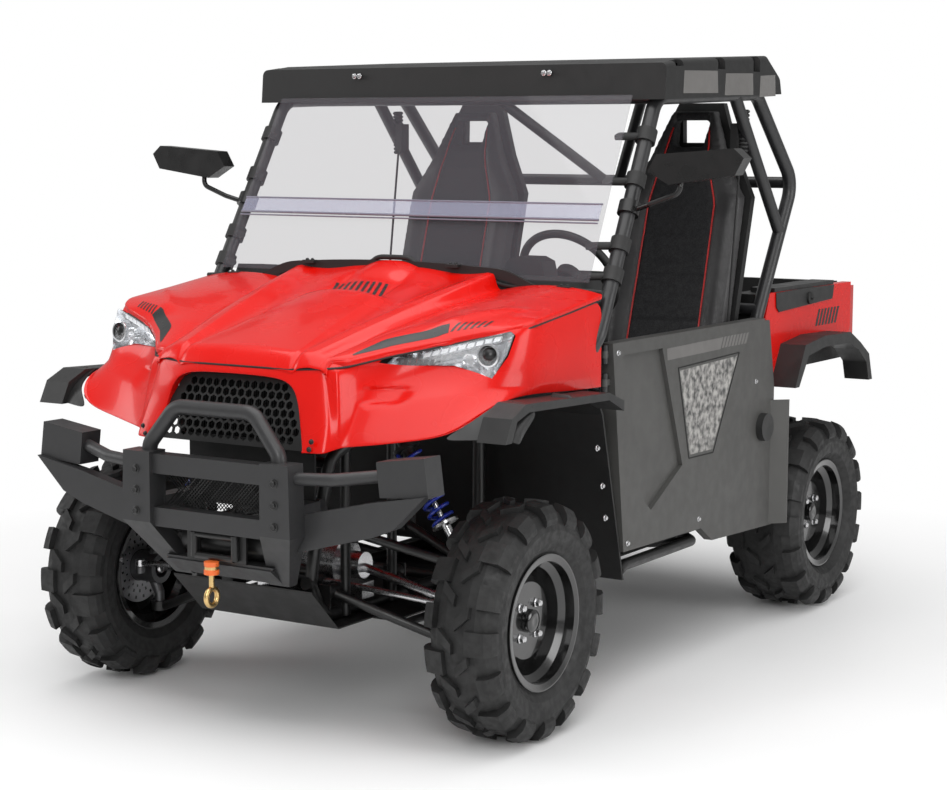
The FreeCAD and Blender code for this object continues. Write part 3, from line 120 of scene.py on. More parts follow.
# %% [markdown]
# Moulded plastic keeps a faint orange peel, grained plastic and powder coat a stronger relief. Such
# bumps could be displaced faces, but at half a millimetre there would be millions. A Bump node only
# bends the light as if they were there, and its depth is in metres as well.

# %% Relief
def relief(material, size, depth, detail=2.0):
    """Bumps of about size metres across and depth metres deep."""
    tree = material.node_tree
    height = noise(material, size, detail)
    bump = tree.nodes.new("ShaderNodeBump")
    bump.inputs["Distance"].default_value = depth
    bump.inputs["Strength"].default_value = 1.0
    tree.links.new(height, bump.inputs["Height"])
    tree.links.new(bump.outputs["Normal"], shader_of(material).inputs["Normal"])


relief(red, 0.006, 0.00004)
print("orange peel on", red.name)

# %% [markdown]
# The doors, flares, liners and roof are grained black or grey plastic. One even colour looks like
# paper when it is lit softly. Two close tones under a noise give the slight clouds of real plastic,
# and one helper makes the whole family, so that its members differ only in colour and grain.

# %% Moulded plastics
def two_tones(material, size, dark, light, detail=3.0):
    """Colour that drifts between two tones over patches of the given size."""
    tree = material.node_tree
    mix = tree.nodes.new("ShaderNodeMix")
    mix.data_type = "RGBA"
    mix.inputs["A"].default_value = (*dark, 1)
    mix.inputs["B"].default_value = (*light, 1)
    tree.links.new(spread(material, noise(material, size, detail), 0, 1), mix.inputs["Factor"])
    tree.links.new(mix.outputs["Result"], shader_of(material).inputs["Base Color"])


def scaled(colour, factor):
    """The same colour, lighter or darker."""
    return tuple(part * factor for part in colour)


def moulded(name, colour, roughness, grain=0.0009, depth=0.00012):
    """Grained plastic: even colour, soft gloss and a fine leather-like grain."""
    material = finish(name, colour, roughness)
    two_tones(material, 0.25, scaled(colour, 0.92), scaled(colour, 1.08))
    uneven_gloss(material, 0.05, roughness - 0.05, roughness + 0.06)
    relief(material, grain, depth, 3.0)
    return material


door_grey = moulded("moulded_grey", (0.064, 0.063, 0.060), 0.50)
flare_black = moulded("flare_black", (0.016, 0.016, 0.016), 0.45)
liner_black = moulded("liner_black", (0.006, 0.006, 0.006), 0.55)
roof_black = moulded("roof_black", (0.010, 0.010, 0.010), 0.52, grain=0.0012, depth=0.00006)
print("moulded", [plastic.name for plastic in (door_grey, flare_black, liner_black, roof_black)])

# %% [markdown]
# The cage, the bumper and the frame are steel tubes under powder coat, which bakes to a pebbled
# skin. It could be a plain rough black, but its light edges come from a thin soft coat over the
# colour. So the shader's coat is on, and a coarse low relief stands for the pebbles.

# %% Powder coats
def coated(name, colour, roughness):
    """Powder coat: a soft pebbled gloss over metal."""
    material = finish(name, colour, roughness, coat=0.15, coat_roughness=0.3)
    uneven_gloss(material, 0.04, roughness - 0.06, roughness + 0.06)
    relief(material, 0.0022, 0.00015, 1.0)
    return material


bumper_coat = coated("bumper_coat", (0.022, 0.022, 0.023), 0.48)
cage_coat = coated("cage_coat", (0.016, 0.016, 0.017), 0.38)
frame_coat = coated("frame_coat", (0.008, 0.008, 0.008), 0.40)
print("coated", [coat.name for coat in (bumper_coat, cage_coat, frame_coat)])

# %% [markdown]
# The rims are lacquered gloss black; nuts, discs and castings are bare metal. Metal takes its
# brightness from what it mirrors, so its look is set by roughness more than by colour. The helper
# lets that roughness drift in fine spots, coarser ones on a casting than on turned steel.

# %% Rim lacquer and metals
rim_gloss = finish("rim_gloss", (0.006, 0.006, 0.006), 0.16, coat=0.8, coat_roughness=0.05)
uneven_gloss(rim_gloss, 0.03, 0.14, 0.22)
relief(rim_gloss, 0.004, 0.00003)


def metal(name, colour, roughness, brushed=0.002):
    """Bare metal with a fine uneven gloss."""
    material = finish(name, colour, roughness, metallic=1.0)
    uneven_gloss(material, brushed, roughness - 0.08, roughness + 0.08)
    relief(material, brushed, 0.00003)
    return material


bright_steel = metal("bright_steel", (0.62, 0.62, 0.63), 0.26)
brake_grey = metal("brake_grey", (0.36, 0.36, 0.37), 0.38)
cast_grey = metal("cast_grey", (0.16, 0.16, 0.165), 0.50, brushed=0.004)
print("metals", [bare.name for bare in (bright_steel, brake_grey, cast_grey)])

# %% [markdown]
# Tyres are the darkest and dullest rubber of the vehicle, slightly dusty in patches. Strips, boots
# and the steering wheel's rim are softer and more even, so the plastics' helper serves for them,
# with a finer grain where a hand holds it.

# %% Rubbers
tyre_rubber = finish("tyre_rubber", (0.010, 0.010, 0.010), 0.6)
two_tones(tyre_rubber, 0.06, (0.007, 0.007, 0.007), (0.014, 0.014, 0.014))
uneven_gloss(tyre_rubber, 0.02, 0.50, 0.72)
relief(tyre_rubber, 0.0016, 0.00018, 3.0)
# Also the finish of the dark tube that paints the shade in the hood's seam
soft_rubber_and_seam_shade = moulded("soft_rubber_and_seam_shade", (0.012, 0.012, 0.012), 0.58)
grip_rubber = moulded("grip_rubber", (0.016, 0.016, 0.016), 0.50, grain=0.0006)
print("rubbers", [rubber.name for rubber in (tyre_rubber, soft_rubber_and_seam_shade, grip_rubber)])

# %% [markdown]
# A few small parts catch the eye: blue springs, a gold hook, its orange stopper and glossy mirror
# shells. They could share the finishes above in another colour, and that is just what happens:
# the helpers already know how coat, metal and plastic behave.

# %% Coloured small parts
spring_blue = coated("spring_blue", (0.010, 0.030, 0.30), 0.30)
hook_gold = metal("hook_gold", (0.72, 0.50, 0.22), 0.32)
stopper_orange = moulded("stopper_orange", (0.85, 0.16, 0.03), 0.42)
mirror_gloss = moulded("mirror_gloss", (0.008, 0.008, 0.008), 0.30, grain=0.003, depth=0.00005)
print("small parts", [part.name for part in (spring_blue, hook_gold, stopper_orange, mirror_gloss)])

# %% [markdown]
# The windscreen is thin tinted plastic. Real refraction through a thin sheet shows nothing but
# slows the picture down, so the sheet is only made partly see-through with Alpha. Thick lenses do
# bend light and get true transmission. Rear lamps are red plastic under a glossy coat.

# %% Clear plastics
screen_tint = finish("screen_tint", (0.15, 0.14, 0.16), 0.03)
shader_of(screen_tint).inputs["Alpha"].default_value = 0.20
uneven_gloss(screen_tint, 0.3, 0.02, 0.05)

lens_clear = finish("lens_clear", (0.95, 0.96, 0.98), 0.03)
shader_of(lens_clear).inputs["Transmission Weight"].default_value = 1.0
uneven_gloss(lens_clear, 0.1, 0.02, 0.05)

lamp_red = finish("lamp_red", (0.55, 0.008, 0.006), 0.12, coat=0.8)
uneven_gloss(lamp_red, 0.01, 0.10, 0.18)
print(len(bpy.data.materials), "finishes")

# %% [markdown]
# CAD nodes whose shape is already right only need their finish. Each could be picked by hand, but
# a list of finishes and node names is easy to read, and the last line tells which node was missed.

# %% Dress the CAD nodes
worn_by = [
    (red, "hood front_fascia rear_panels"),
    (door_grey, "door_left door_right side_panels"),
    (flare_black, "front_flares rear_flares fuel_cap lid_left lid_right"),
    (liner_black, "arch_liners belly_pan cab_tub dashboard cargo_bed tailgate grille_mesh"),
    (liner_black, "seat_shells"),
    (roof_black, "roof_panel"),
    (bumper_coat, "front_bumper bumper_guards"),
    (cage_coat, "roll_cage"),
    (frame_coat, "front_subframe chassis_frame rear_subframe hitch_receiver"),
    (frame_coat, "front_arms rear_arms winch steering_column"),
    (rim_gloss, "rim_front_left rim_front_right rim_rear_left rim_rear_right"),
    (tyre_rubber, "tyre_front_left tyre_front_right tyre_rear_left tyre_rear_right"),
    (cast_grey, "knuckle_left knuckle_right rear_uprights engine"),
    (bright_steel, "exhaust drive_shafts steering_rack"),
    (spring_blue, "shocks"),
    (soft_rubber_and_seam_shade, "windshield_clamps seat_cushions seat_backs seat_belts"),
    (mirror_gloss, "mirrors"),
    (grip_rubber, "steering_wheel"),
    (screen_tint, "windshield"),
    (lens_clear, "headlights"),
    (lamp_red, "tail_lamps"),
    (hook_gold, "winch_hook"),
]
for material, names in worn_by:
    for name in names.split():
        nodes[name].data.materials.clear()
        nodes[name].data.materials.append(material)
undressed = [name for name, obj in nodes.items() if obj.data.materials[0] is None]
print("undressed nodes", undressed)

# %% [markdown]
# New pieces are written in the same millimetres as the CAD source, from the middle of the
# wheelbase. They could be dragged into place by eye, but numbers can be compared with the source.
# One function turns them into metres of the frame.

# %% A place in millimetres
wheelbase_shift = 40  # the wheelbase's middle lies this far behind the frame's zero


def mm(x, y, z):
    """A place in millimetres from the middle of the wheelbase, as metres of the frame."""
    return Vector((x, y + wheelbase_shift, z)) / 1000


print("middle of the wheelbase", mm(0, 0, 0))

# %% [markdown]
# A panel is easy to write as rows of points with faces between them. Blender's mesh operators
# could build it step by step, but they are slow and need the right selection each time. Here a
# part is only two lists, points and faces, so parts are joined and mirrored before a mesh exists.

# %% Parts as two lists
def join(*parts):
    """Several parts as one."""
    points, faces = [], []
    for some, more in parts:
        faces += [[corner + len(points) for corner in face] for face in more]
        points += some
    return points, faces


def mirror(part):
    """The same part on the vehicle's other side."""
    points, faces = part
    return [Vector((-p[0], p[1], p[2])) for p in points], [face[::-1] for face in faces]


def pair(part):
    """A part together with its twin on the other side."""
    return join(part, mirror(part))


def grid(rows):
    """An open surface over rows of equally many points."""
    count = len(rows[0])
    points = [Vector(p) for row in rows for p in row]
    faces = []
    for row in range(len(rows) - 1):
        for place in range(count - 1):
            first = row * count + place
            faces.append([first, first + 1, first + count + 1, first + count])
    return points, faces


print("2 rows of 3 points give", len(grid([[mm(0, 0, 0)] * 3] * 2)[1]), "faces")

# %% [markdown]
# On the vehicle, trim moves with what it is fixed to: a door carries its stickers, a wheel its
# nuts. That could be parenting by hand. Here one helper makes the mesh, welds points that touch,
# turns the faces outward, parents the piece to an empty for the body it rides on and hides the
# plain CAD nodes it stands for.

# %% From a part to a piece
weld = 0.00005  # points closer than this are one point
sharp_angle = 38  # in degrees; flatter edges are shaded smooth


def mesh_of(name, part):
    """A mesh of a part, with its faces turned outward."""
    mesh = bpy.data.meshes.new(name)
    mesh.from_pydata([tuple(point) for point in part[0]], [], part[1])
    shape = bmesh.new()
    shape.from_mesh(mesh)
    bmesh.ops.remove_doubles(shape, verts=shape.verts, dist=weld)
    bmesh.ops.recalc_face_normals(shape, faces=shape.faces)
    shape.to_mesh(mesh)
    shape.free()
    return mesh


def smooth_faces(mesh, sharp):
    """Smooth shading, except over edges sharper than the angle."""
    mesh.shade_smooth()
    mesh.set_sharp_from_angle(angle=math.radians(sharp))


def in_scene(name, data):
    """A new object of the scene."""
    obj = bpy.data.objects.new(name, data)
    bpy.context.scene.collection.objects.link(obj)
    return obj


def add_piece(name, part, material, body="chassis", sharp=sharp_angle, stands_for=()):
    """A mesh piece that rides on a body."""
    mesh = mesh_of(name, part)
    mesh.materials.append(material)
    smooth_faces(mesh, sharp)
    obj = in_scene(name, mesh)
    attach(obj, body)
    if stands_for:
        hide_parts(*stands_for)
    return obj


print("points within", weld * 1000, "mm are welded")

# %% [markdown]
# The hood is one moulding from the nose to the windscreen. Its lip runs in a curve seen from above
# and rises towards the cowl. It could be sculpted, but then its width at a given place is anyone's
# guess. Two short tables hold it instead, and a helper reads between their rows.

# %% The hood's outline
nose_y, cowl_y = -1366, -625
plan = [(-1366, 300), (-1352, 345), (-1252, 430), (-1155, 540), (-1098, 672), (-1058, 722),
        (-1010, 745), (-625, 745)]
lip_heights = [(0, 1078), (0.15, 1108), (0.28, 1135), (0.36, 1166), (0.48, 1190), (0.74, 1214),
               (1, 1240)]


def between(table, value):
    """Reads a table of (key, result) at a value, straight between its rows."""
    for (k0, r0), (k1, r1) in zip(table, table[1:]):
        if value <= k1:
            return r0 + (r1 - r0) * (value - k0) / (k1 - k0)
    return table[-1][1]


def along_hood(y):
    """0 at the nose, 1 at the cowl."""
    return (y - nose_y) / (cowl_y - nose_y)


print("lip at the nose", between(plan, nose_y), "mm and at the cowl", between(plan, cowl_y), "mm")

# %% [markdown]
# Across, the hood has a middle panel, a shallow valley, a raised ridge and a fender that falls to
# a rolled lip. Separate meshes for them would leave seams. Instead each station along the vehicle
# gives the same run of points, so neighbours join to one clean skin. The middle panel sinks a
# little where the vent lies.

# %% One section of the hood
vent_front, vent_rear, vent_depth = -885, -668, 24
fender_parts = (0.2, 0.45, 0.7, 0.88)
crisp_keys = (3, 7, 8, 11)  # the panel's edge, both edges of the ridge and its foot


def clamp(value):
    """Keeps a value between 0 and 1."""
    return max(0.0, min(1.0, value))


def hood_section(y):
    """Points of the hood from its middle to its lip at one station."""
    run = along_hood(y)
    bow = math.sin(math.pi * run)
    middle = 1110 + 206 * run
    panel_x, panel_z = 188 - 118 * run + 30 * run ** 2, 1105 + 194 * run
    ridge_x, ridge_z = 211 + 137 * run, 1108 + 182 * run + 8 * bow
    foot_x, foot_z = ridge_x + 75 - 35 * run + 6 * bow, 1088 + 152 * run + 16 * bow
    dip = vent_depth * clamp((y - vent_front) / 22) * clamp((vent_rear - y) / 60)
    gap, flat = ridge_x - panel_x, (foot_x - ridge_x) * 0.5
    lip_x, lip_z = between(plan, y), between(lip_heights, run)
    span = lip_x - foot_x
    crown = 22 * min(1, span / 200)
    keys = [(0, middle + 1 - dip), (panel_x * 0.5, middle - dip), (panel_x - 8, panel_z + 1 - dip),
            (panel_x, panel_z - 1 - dip * 0.7), (panel_x + gap * 0.2, panel_z - 4 - 14 * bow),
            (panel_x + gap * 0.6, ridge_z - 10 - 16 * bow), (ridge_x - gap * 0.08, ridge_z - 3),
            (ridge_x + 4, ridge_z + 1), (ridge_x + flat, ridge_z - 2),
            (ridge_x + flat + 7, ridge_z - 6), (foot_x - 3, foot_z + 5),
            (foot_x + span * 0.03, foot_z)]
    for part in fender_parts:
        rise = (lip_z - foot_z) * part + crown * 4 * part * (1 - part)
        keys.append((foot_x + span * part, foot_z + rise))
    keys += [(lip_x - 9, lip_z + 2), (lip_x - 2, lip_z + 1), (lip_x, lip_z - 4), (lip_x - 1, lip_z - 13)]
    return [mm(x, y, z) for x, z in keys]


print("points in a section", len(hood_section(cowl_y)))

# %% [markdown]
# At the nose the hood bends down and tucks behind the fascia. Ending it in a cut there would show
# a bare edge. Four more rows carry the first section forward and down, less so towards the corner.
# The stations behind it stand closer where the shape turns faster.

# %% Rows of the hood
corner_start, corner_span, corner_share = 190, 110, 0.45
stations = [-1366, -1362, -1352, -1330, -1300, -1275, -1252, -1228, -1203, -1178, -1155, -1136,
            -1117, -1098, -1078, -1058, -1034, -1010, -970, -920, -888, -874, -862, -835, -790,
            -745, -720, -680, -645, -629, -625]


def nose_row(forward, down):
    """The hood's front edge carried round the nose, forward and down by millimetres."""
    row = []
    for point in hood_section(nose_y):
        share = 1 - corner_share * clamp((point.x * 1000 - corner_start) / corner_span)
        row.append(point + Vector((0.2 * down * (1 - share), -forward * share, -down * share)) / 1000)
    return row


nose_rows = [nose_row(50, 54), nose_row(49, 48), nose_row(35, 25), nose_row(19, 8)]
section_rows = [hood_section(y) for y in stations]
print(len(nose_rows), "rows round the nose and", len(section_rows), "sections")

# %% [markdown]
# The moulding is smooth between a few crisp lines. A dense mesh could show that, but it is hard to
# keep fair. Subdivision rounds a coarse net by itself, and a crease value keeps chosen edges
# crisp. The result is then baked to plain mesh, so that later steps can measure it.

# %% Hood skin
def modify(obj, kind, **settings):
    """Adds one modifier with its settings."""
    modifier = obj.modifiers.new(kind.lower(), kind)
    for key, value in settings.items():
        setattr(modifier, key, value)
    return modifier


def crease(obj, lines, amount):
    """Keeps the edges along some lines of points crisp under subdivision."""
    place_of = {tuple(round(part, 4) for part in vertex.co): vertex.index
                for vertex in obj.data.vertices}
    wanted = set()
    for line in lines:
        for flip in (1, -1):
            found = [place_of.get((round(flip * p.x, 4), round(p.y, 4), round(p.z, 4))) for p in line]
            wanted |= {frozenset(ends) for ends in zip(found, found[1:]) if None not in ends}
    values = obj.data.attributes.new("crease_edge", "FLOAT", "EDGE")
    for edge in obj.data.edges:
        values.data[edge.index].value = amount if frozenset(edge.vertices) in wanted else 0.0


def bake(obj, sharp=sharp_angle):
    """Turns a piece's modifiers into plain mesh."""
    bpy.context.view_layer.update()
    evaluated = obj.evaluated_get(bpy.context.evaluated_depsgraph_get())
    mesh = bpy.data.meshes.new_from_object(evaluated)
    obj.modifiers.clear()
    obj.data = mesh
    smooth_faces(mesh, sharp)
    return mesh


hood_part = pair(grid(nose_rows + section_rows))
hood = add_piece("hood_skin", hood_part, red, stands_for=("hood",))
crease(hood, [[row[key] for row in section_rows] for key in crisp_keys], 0.55)
modify(hood, "SUBSURF", levels=2, render_levels=2)
hood_mesh = bake(hood)
print("hood", len(hood_mesh.polygons), "faces")

# %% [markdown]
# A pressed line runs slantwise over each fender. As more points in the section it would bend every
# row. Pushing up the fine mesh along a straight line is simpler: the height fades to both sides
# and towards both ends. Only then does the skin get its wall, so inside and outside stay parallel.

# %% Line over the fender
fold_start, fold_end = Vector((490, -1120)), Vector((655, -930))
fold_way = fold_end - fold_start
fold_height, fold_width = 0.009, 20
hood_wall = 0.004


def ramp(value, low, high):
    """Runs smoothly from 0 at low to 1 at high."""
    part = clamp((value - low) / (high - low))
    return part * part * (3 - 2 * part)


def soft_ridge(off, width):
    """1 on a line, fading softly with the distance off it."""
    return math.exp(-(off / width) ** 2)


for vertex in hood_mesh.vertices:
    place = (abs(vertex.co.x) * 1000, vertex.co.y * 1000 - wheelbase_shift)
    spot = Vector(place) - fold_start
    part = spot.dot(fold_way) / fold_way.length_squared
    off = (spot - fold_way * part).length
    ends = ramp(part, -0.15, 0.2) * (1 - ramp(part, 0.8, 1.15))
    vertex.co.z += fold_height * soft_ridge(off, fold_width) * ends
modify(hood, "SOLIDIFY", thickness=hood_wall, offset=-1)
bake(hood)
print("hood with its wall", len(hood.data.polygons), "faces")

# %% [markdown]
# The front fascia wraps from the grille round to the doors under the hood's lip. Its columns run
# downward from the seam, over the recess that holds the lamp and the ridge under it, to the wheel
# arch. Box modelling could find this form too, but points in a short table can be compared with the
# photograph and with the CAD one by one.

# %% Columns of the fascia
columns = [
    [(176, -1367, 1104), (176, -1396, 1082), (178, -1414, 1056), (190, -1422, 1028),
     (226, -1428, 985), (240, -1436, 905), (268, -1464, 834)],
    [(245, -1363, 1096), (262, -1387, 1078), (280, -1396, 1060), (292, -1402, 1025),
     (304, -1410, 975), (320, -1424, 915), (332, -1458, 833)],
    [(256, -1362, 1094), (272, -1383, 1077), (290, -1388, 1060), (302, -1392, 1025),
     (314, -1400, 975), (330, -1412, 915), (340, -1440, 838)],
    [(300, -1358, 1088), (318, -1372, 1072), (329, -1382, 1060), (335, -1388, 1020),
     (342, -1394, 975), (349, -1401, 915), (357, -1412, 846)],
    [(345, -1350, 1076), (352, -1340, 1066), (356, -1334, 1048), (359, -1330, 1030),
     (362, -1330, 1010), (368, -1345, 952), (372, -1402, 850)],
    [(430, -1250, 1100), (425, -1222, 1092), (427, -1214, 1075), (430, -1218, 1050),
     (435, -1238, 1012), (440, -1298, 964), (440, -1375, 856)],
    [(540, -1153, 1127), (538, -1152, 1120), (540, -1160, 1095), (543, -1172, 1068),
     (545, -1198, 1022), (545, -1253, 982), (545, -1345, 872)],
    [(670, -1096, 1160), (668, -1104, 1152), (665, -1122, 1115), (660, -1150, 1072),
     (655, -1178, 1032), (655, -1213, 1000), (650, -1322, 890)],
    [(720, -1056, 1176), (722, -1076, 1162), (720, -1098, 1120), (716, -1122, 1075),
     (706, -1148, 1038), (712, -1153, 1011), (712, -1280, 938)],
    [(743, -1008, 1184), (746, -1020, 1160), (748, -1032, 1120), (749, -1042, 1075),
     (750, -1050, 1040), (750, -1058, 1012), (745, -1160, 990)],
    [(743, -900, 1196), (747, -908, 1160), (749, -915, 1120), (750, -920, 1075),
     (750, -925, 1040), (751, -930, 1006), (746, -935, 980)],
    [(743, -780, 1210), (747, -780, 1160), (748, -780, 1120), (748, -780, 1075),
     (748, -780, 1040), (749, -780, 1002), (745, -780, 970)],
    [(743, -627, 1230), (745, -627, 1160), (745, -627, 1120), (745, -627, 1075),
     (745, -627, 1040), (745, -627, 1000), (745, -627, 965)],
]
middle_columns = [
    [(0, -1371, 1105), (0, -1398, 1084), (0, -1417, 1056), (0, -1425, 1034)],
    [(90, -1370, 1105), (90, -1397, 1083), (90, -1416, 1056), (92, -1424, 1033)],
    columns[0][:4],
]
print(len(columns), "columns beside the grille,", len(middle_columns), "above it")

# %% [markdown]
# A moulding never ends in a bare cut: round the grille and along the wheel arch its edge turns
# inward. Thickening alone would leave a thin rim there. Short strips behind those edges give them
# the depth that shows, and the upper edge is tucked under the hood.

# %% Edges that turn inward
def shifted(line, dx, dy, dz):
    """A line of places moved by millimetres."""
    return [(x + dx, y + dy, z + dz) for x, y, z in line]


for column in columns[:4] + middle_columns[:2]:
    column[:2] = shifted(column[:2], 0, 5, -4)
opening_edge = [middle_columns[0][3], middle_columns[1][3]] + columns[0][3:]
opening_turn = [opening_edge, shifted(opening_edge, 0, 5, 0), shifted(opening_edge, 0, 30, 0)]
arch_edge = [column[6] for column in columns]
arch_turn = [arch_edge, shifted(arch_edge, -3, 4, 1), shifted(arch_edge, -8, 14, 4)]
print("edge of the grille", len(opening_edge), "points, of the arch", len(arch_edge))

# %% [markdown]
# The fascia is made like the hood, as a coarse net under subdivision. Three levels instead of two
# keep the corner beside the lamp fair, where the columns stand far apart. The ridge over the arch
# and the corner beside the grille stay crisp.

# %% Fascia skin
def in_metres(rows):
    """Rows of places in millimetres as metres of the frame."""
    return [[mm(*point) for point in row] for row in rows]


fascia_part = join(*(grid(in_metres(rows))
                     for rows in (columns, middle_columns, opening_turn, arch_turn)))
fascia = add_piece("fascia_skin", pair(fascia_part), red, stands_for=("front_fascia",))
ridge_line = [column[5] for column in columns[4:]]
crease(fascia, in_metres([ridge_line, columns[2], columns[3], columns[4][2:]]), 0.7)
modify(fascia, "SUBSURF", levels=3, render_levels=3)
fascia_mesh = bake(fascia)
print("fascia", len(fascia_mesh.polygons), "faces")

# %% [markdown]
# Under the lamp's inner corner the fascia has a shallow recess. Cutting it would leave hard walls.
# Moving the fine mesh back inside a soft-edged window gives the drawn-in look of a moulding. The
# wall is added after that, as on the hood.

# %% Recess under the lamp
recess_depth, fascia_wall = 0.013, 0.0035
for vertex in fascia_mesh.vertices:
    x, z = abs(vertex.co.x) * 1000, vertex.co.z * 1000
    across = ramp(x, 367, 380) * (1 - ramp(x, 445, 505))
    tall = ramp(z, 958, 970) * (1 - ramp(z, 1000, 1012))
    vertex.co.y += recess_depth * across * tall
modify(fascia, "SOLIDIFY", thickness=fascia_wall, offset=-1)
bake(fascia)
print("fascia with its wall", len(fascia.data.polygons), "faces")

# %% [markdown]
# The lamp fills an opening that sweeps back along the fender. The opening could be left out of the
# columns, but its outline crosses them at a slant. A boolean with a throw-away block along the
# lamp's outward direction cuts it exactly, through skin and wall at once.

# %% Lamp opening
lamp_out = Vector((0.30, -0.90, 0.32)).normalized()
lamp_edge = [(376, -1222, 1056), (397, -1204, 1083), (466, -1180, 1101), (600, -1128, 1134),
             (712, -1093, 1164), (722, -1088, 1156), (716, -1118, 1100), (688, -1150, 1036),
             (640, -1160, 1052), (580, -1172, 1068), (506, -1190, 1066)]
lamp_loop = [mm(*point) for point in lamp_edge]
lamp_middle = sum(lamp_loop, Vector()) / len(lamp_loop)


def lamp_ring(size, out):
    """The lamp's outline, scaled about its middle and moved out by millimetres."""
    return [lamp_middle + (point - lamp_middle) * size + lamp_out * out / 1000 for point in lamp_loop]


def closed(loops):
    """A closed body through loops of equally many points."""
    count = len(loops[0])
    points = [Vector(p) for loop in loops for p in loop]
    faces = [list(range(count))[::-1], [len(points) - count + place for place in range(count)]]
    for row in range(len(loops) - 1):
        for place in range(count):
            first, after = row * count + place, row * count + (place + 1) % count
            faces.append([first, after, after + count, first + count])
    return points, faces


def cut(obj, part):
    """Cuts a part out of a piece, with a loose mesh that is thrown away."""
    tool = in_scene("cutter", mesh_of("cutter", part))
    modify(obj, "BOOLEAN", object=tool, operation="DIFFERENCE", solver="EXACT")
    bake(obj)
    bpy.data.objects.remove(tool)


cut(fascia, pair(closed([lamp_ring(1.0, -60), lamp_ring(1.0, 60)])))
print("fascia with lamp openings", len(fascia.data.polygons), "faces")

# %% [markdown]
# Each headlamp is a bright bowl behind a clear cover. Both follow the outline of the opening, so
# both are built from the same ring, smaller and deeper for the bowl, smaller and further out for
# the bulging cover. The cover is a thin shell, so it is see-through by Alpha and needs no glass.

# %% Lamp bowls and covers
lens_thin = finish("lens_thin", (0.92, 0.94, 0.96), 0.03)
shader_of(lens_thin).inputs["Alpha"].default_value = 0.14
uneven_gloss(lens_thin, 0.08, 0.02, 0.05)
reflector = metal("reflector", (0.78, 0.79, 0.81), 0.16, brushed=0.01)


def lamp_shell(*rings):
    """An open shell over rings of the lamp, each a (size, millimetres out)."""
    loops = [lamp_ring(size, out) for size, out in rings]
    return grid([loop + loop[:1] for loop in loops])


bowl = join(lamp_shell((1.0, 1), (0.96, -16), (0.80, -42), (0.30, -50)),
            closed([lamp_ring(0.32, -50), lamp_ring(0.02, -51)]))
cover = lamp_shell((1.0, 0), (0.985, 3), (0.8, 7), (0.4, 9), (0.02, 10))
add_piece("lamp_bowls", pair(bowl), reflector, stands_for=("headlights",))
add_piece("lamp_covers", pair(cover), lens_thin, stands_for=("headlights",))
print("lamp outline of", len(lamp_loop), "points")

# %% [markdown]
# In the bowl sit a projector with a dark ball lens and a smaller low lamp. They are turned parts,
# so a profile spun about an axis makes them; that is what a lathe does, and the helper is named
# for it. Blender's Screw modifier could spin it too, but here the axis may point anywhere.

# %% Projectors
lamp_aim = Vector((0.16, -0.98, 0.05))


def round_about(side, other, step, steps):
    """The direction that is step of steps round a turn, from side towards other."""
    turn = 2 * math.pi * step / steps
    return side * math.cos(turn) + other * math.sin(turn)


def lathe(a, b, profile, steps=24):
    """A profile of (millimetres from a towards b, radius) turned about the line from a to b."""
    axis = (b - a).normalized()
    side = axis.orthogonal().normalized()
    other = axis.cross(side)
    return closed([[a + axis * reach / 1000 + round_about(side, other, step, steps) * radius / 1000
                    for step in range(steps)] for reach, radius in profile])


high_at, low_at = mm(668, -1136, 1098), mm(612, -1150, 1084)
high_ring = lathe(high_at, high_at + lamp_aim, [(-34, 24), (-6, 30), (2, 34), (7, 33), (8, 28),
                                                (2, 26), (-6, 24), (-7, 2)], 32)
low_ring = lathe(low_at, low_at + lamp_aim, [(-30, 12), (0, 17), (3, 17), (2, 14), (-8, 12),
                                             (-9, 1)], 28)
ball = lathe(high_at, high_at + lamp_aim, [(-8, 24), (0, 22), (6, 16), (10, 8), (11.5, 1)], 28)
add_piece("lamp_projectors", pair(join(high_ring, low_ring)), reflector, sharp=60)
add_piece("lamp_balls", pair(ball), mirror_gloss, sharp=60)
print("projectors at", high_at, low_at)

# %% [markdown]
# Along the lamp's upper edge runs a band of small pale reflectors, and its inner corner holds a few
# dark fins. A striped colour on one strip would look flat from the side, so each reflector and fin
# is its own small block, set by its number along the row.

# %% Reflector band and fins
lamp_dark = moulded("lamp_dark", (0.05, 0.05, 0.055), 0.3)
band_white = finish("band_white", (0.9, 0.92, 0.95), 0.25, coat=0.5)
band_count, band_length, fin_count = 9, 0.085, 5
band_up = Vector((0.004, 0.004, 0.013))


def band_point(part):
    """A place on the band's lower edge, part of the way along it."""
    return mm(478 + 210 * part, -1180 + 78 * part, 1086 + 54 * part)


def lamp_block(corners, deep, near):
    """A block over four corners between two depths in the lamp."""
    return closed([[corner + lamp_out * depth for corner in corners] for depth in (deep, near)])


band, fins = [], []
for step in range(band_count):
    part = step / band_count
    low = band_point(part)
    side = band_point(part + band_length) - low
    band.append(lamp_block([low, low + side, low + side + band_up, low + band_up], -0.022, -0.006))
for step in range(fin_count):
    part = step / fin_count
    low = mm(425 + 95 * part, -1205 + 25 * part, 1066 + 4 * part)
    fins.append(lamp_block([low, low + Vector((0.010, 0.003, 0)), low + Vector((0.014, 0.006, 0.016)),
                            low + Vector((0.004, 0.003, 0.016))], -0.030, -0.012))
add_piece("lamp_bands", pair(join(*band)), band_white)
add_piece("lamp_fins", pair(join(*fins)), lamp_dark)
print(len(band), "reflectors and", len(fins), "fins a side")

# %% [markdown]
# Vent slots cross the middle of the hood in a slanted row. Cut through with a boolean they were
# only a dull patch, since the hood is dark below as well. Dark strips in the sunken panel paint the
# shade inside the slots. A ray cast straight down finds the skin's height for every point of a strip.

# %% Painted shade in the hood vents
def tree_of(obj):
    """The finished surface of a piece, ready for rays."""
    bpy.context.view_layer.update()
    return BVHTree.FromObject(obj, bpy.context.evaluated_depsgraph_get())


hood_tree = tree_of(hood)
above_hood, hood_height = 1500, 1150  # where rays start, and a height for one that misses


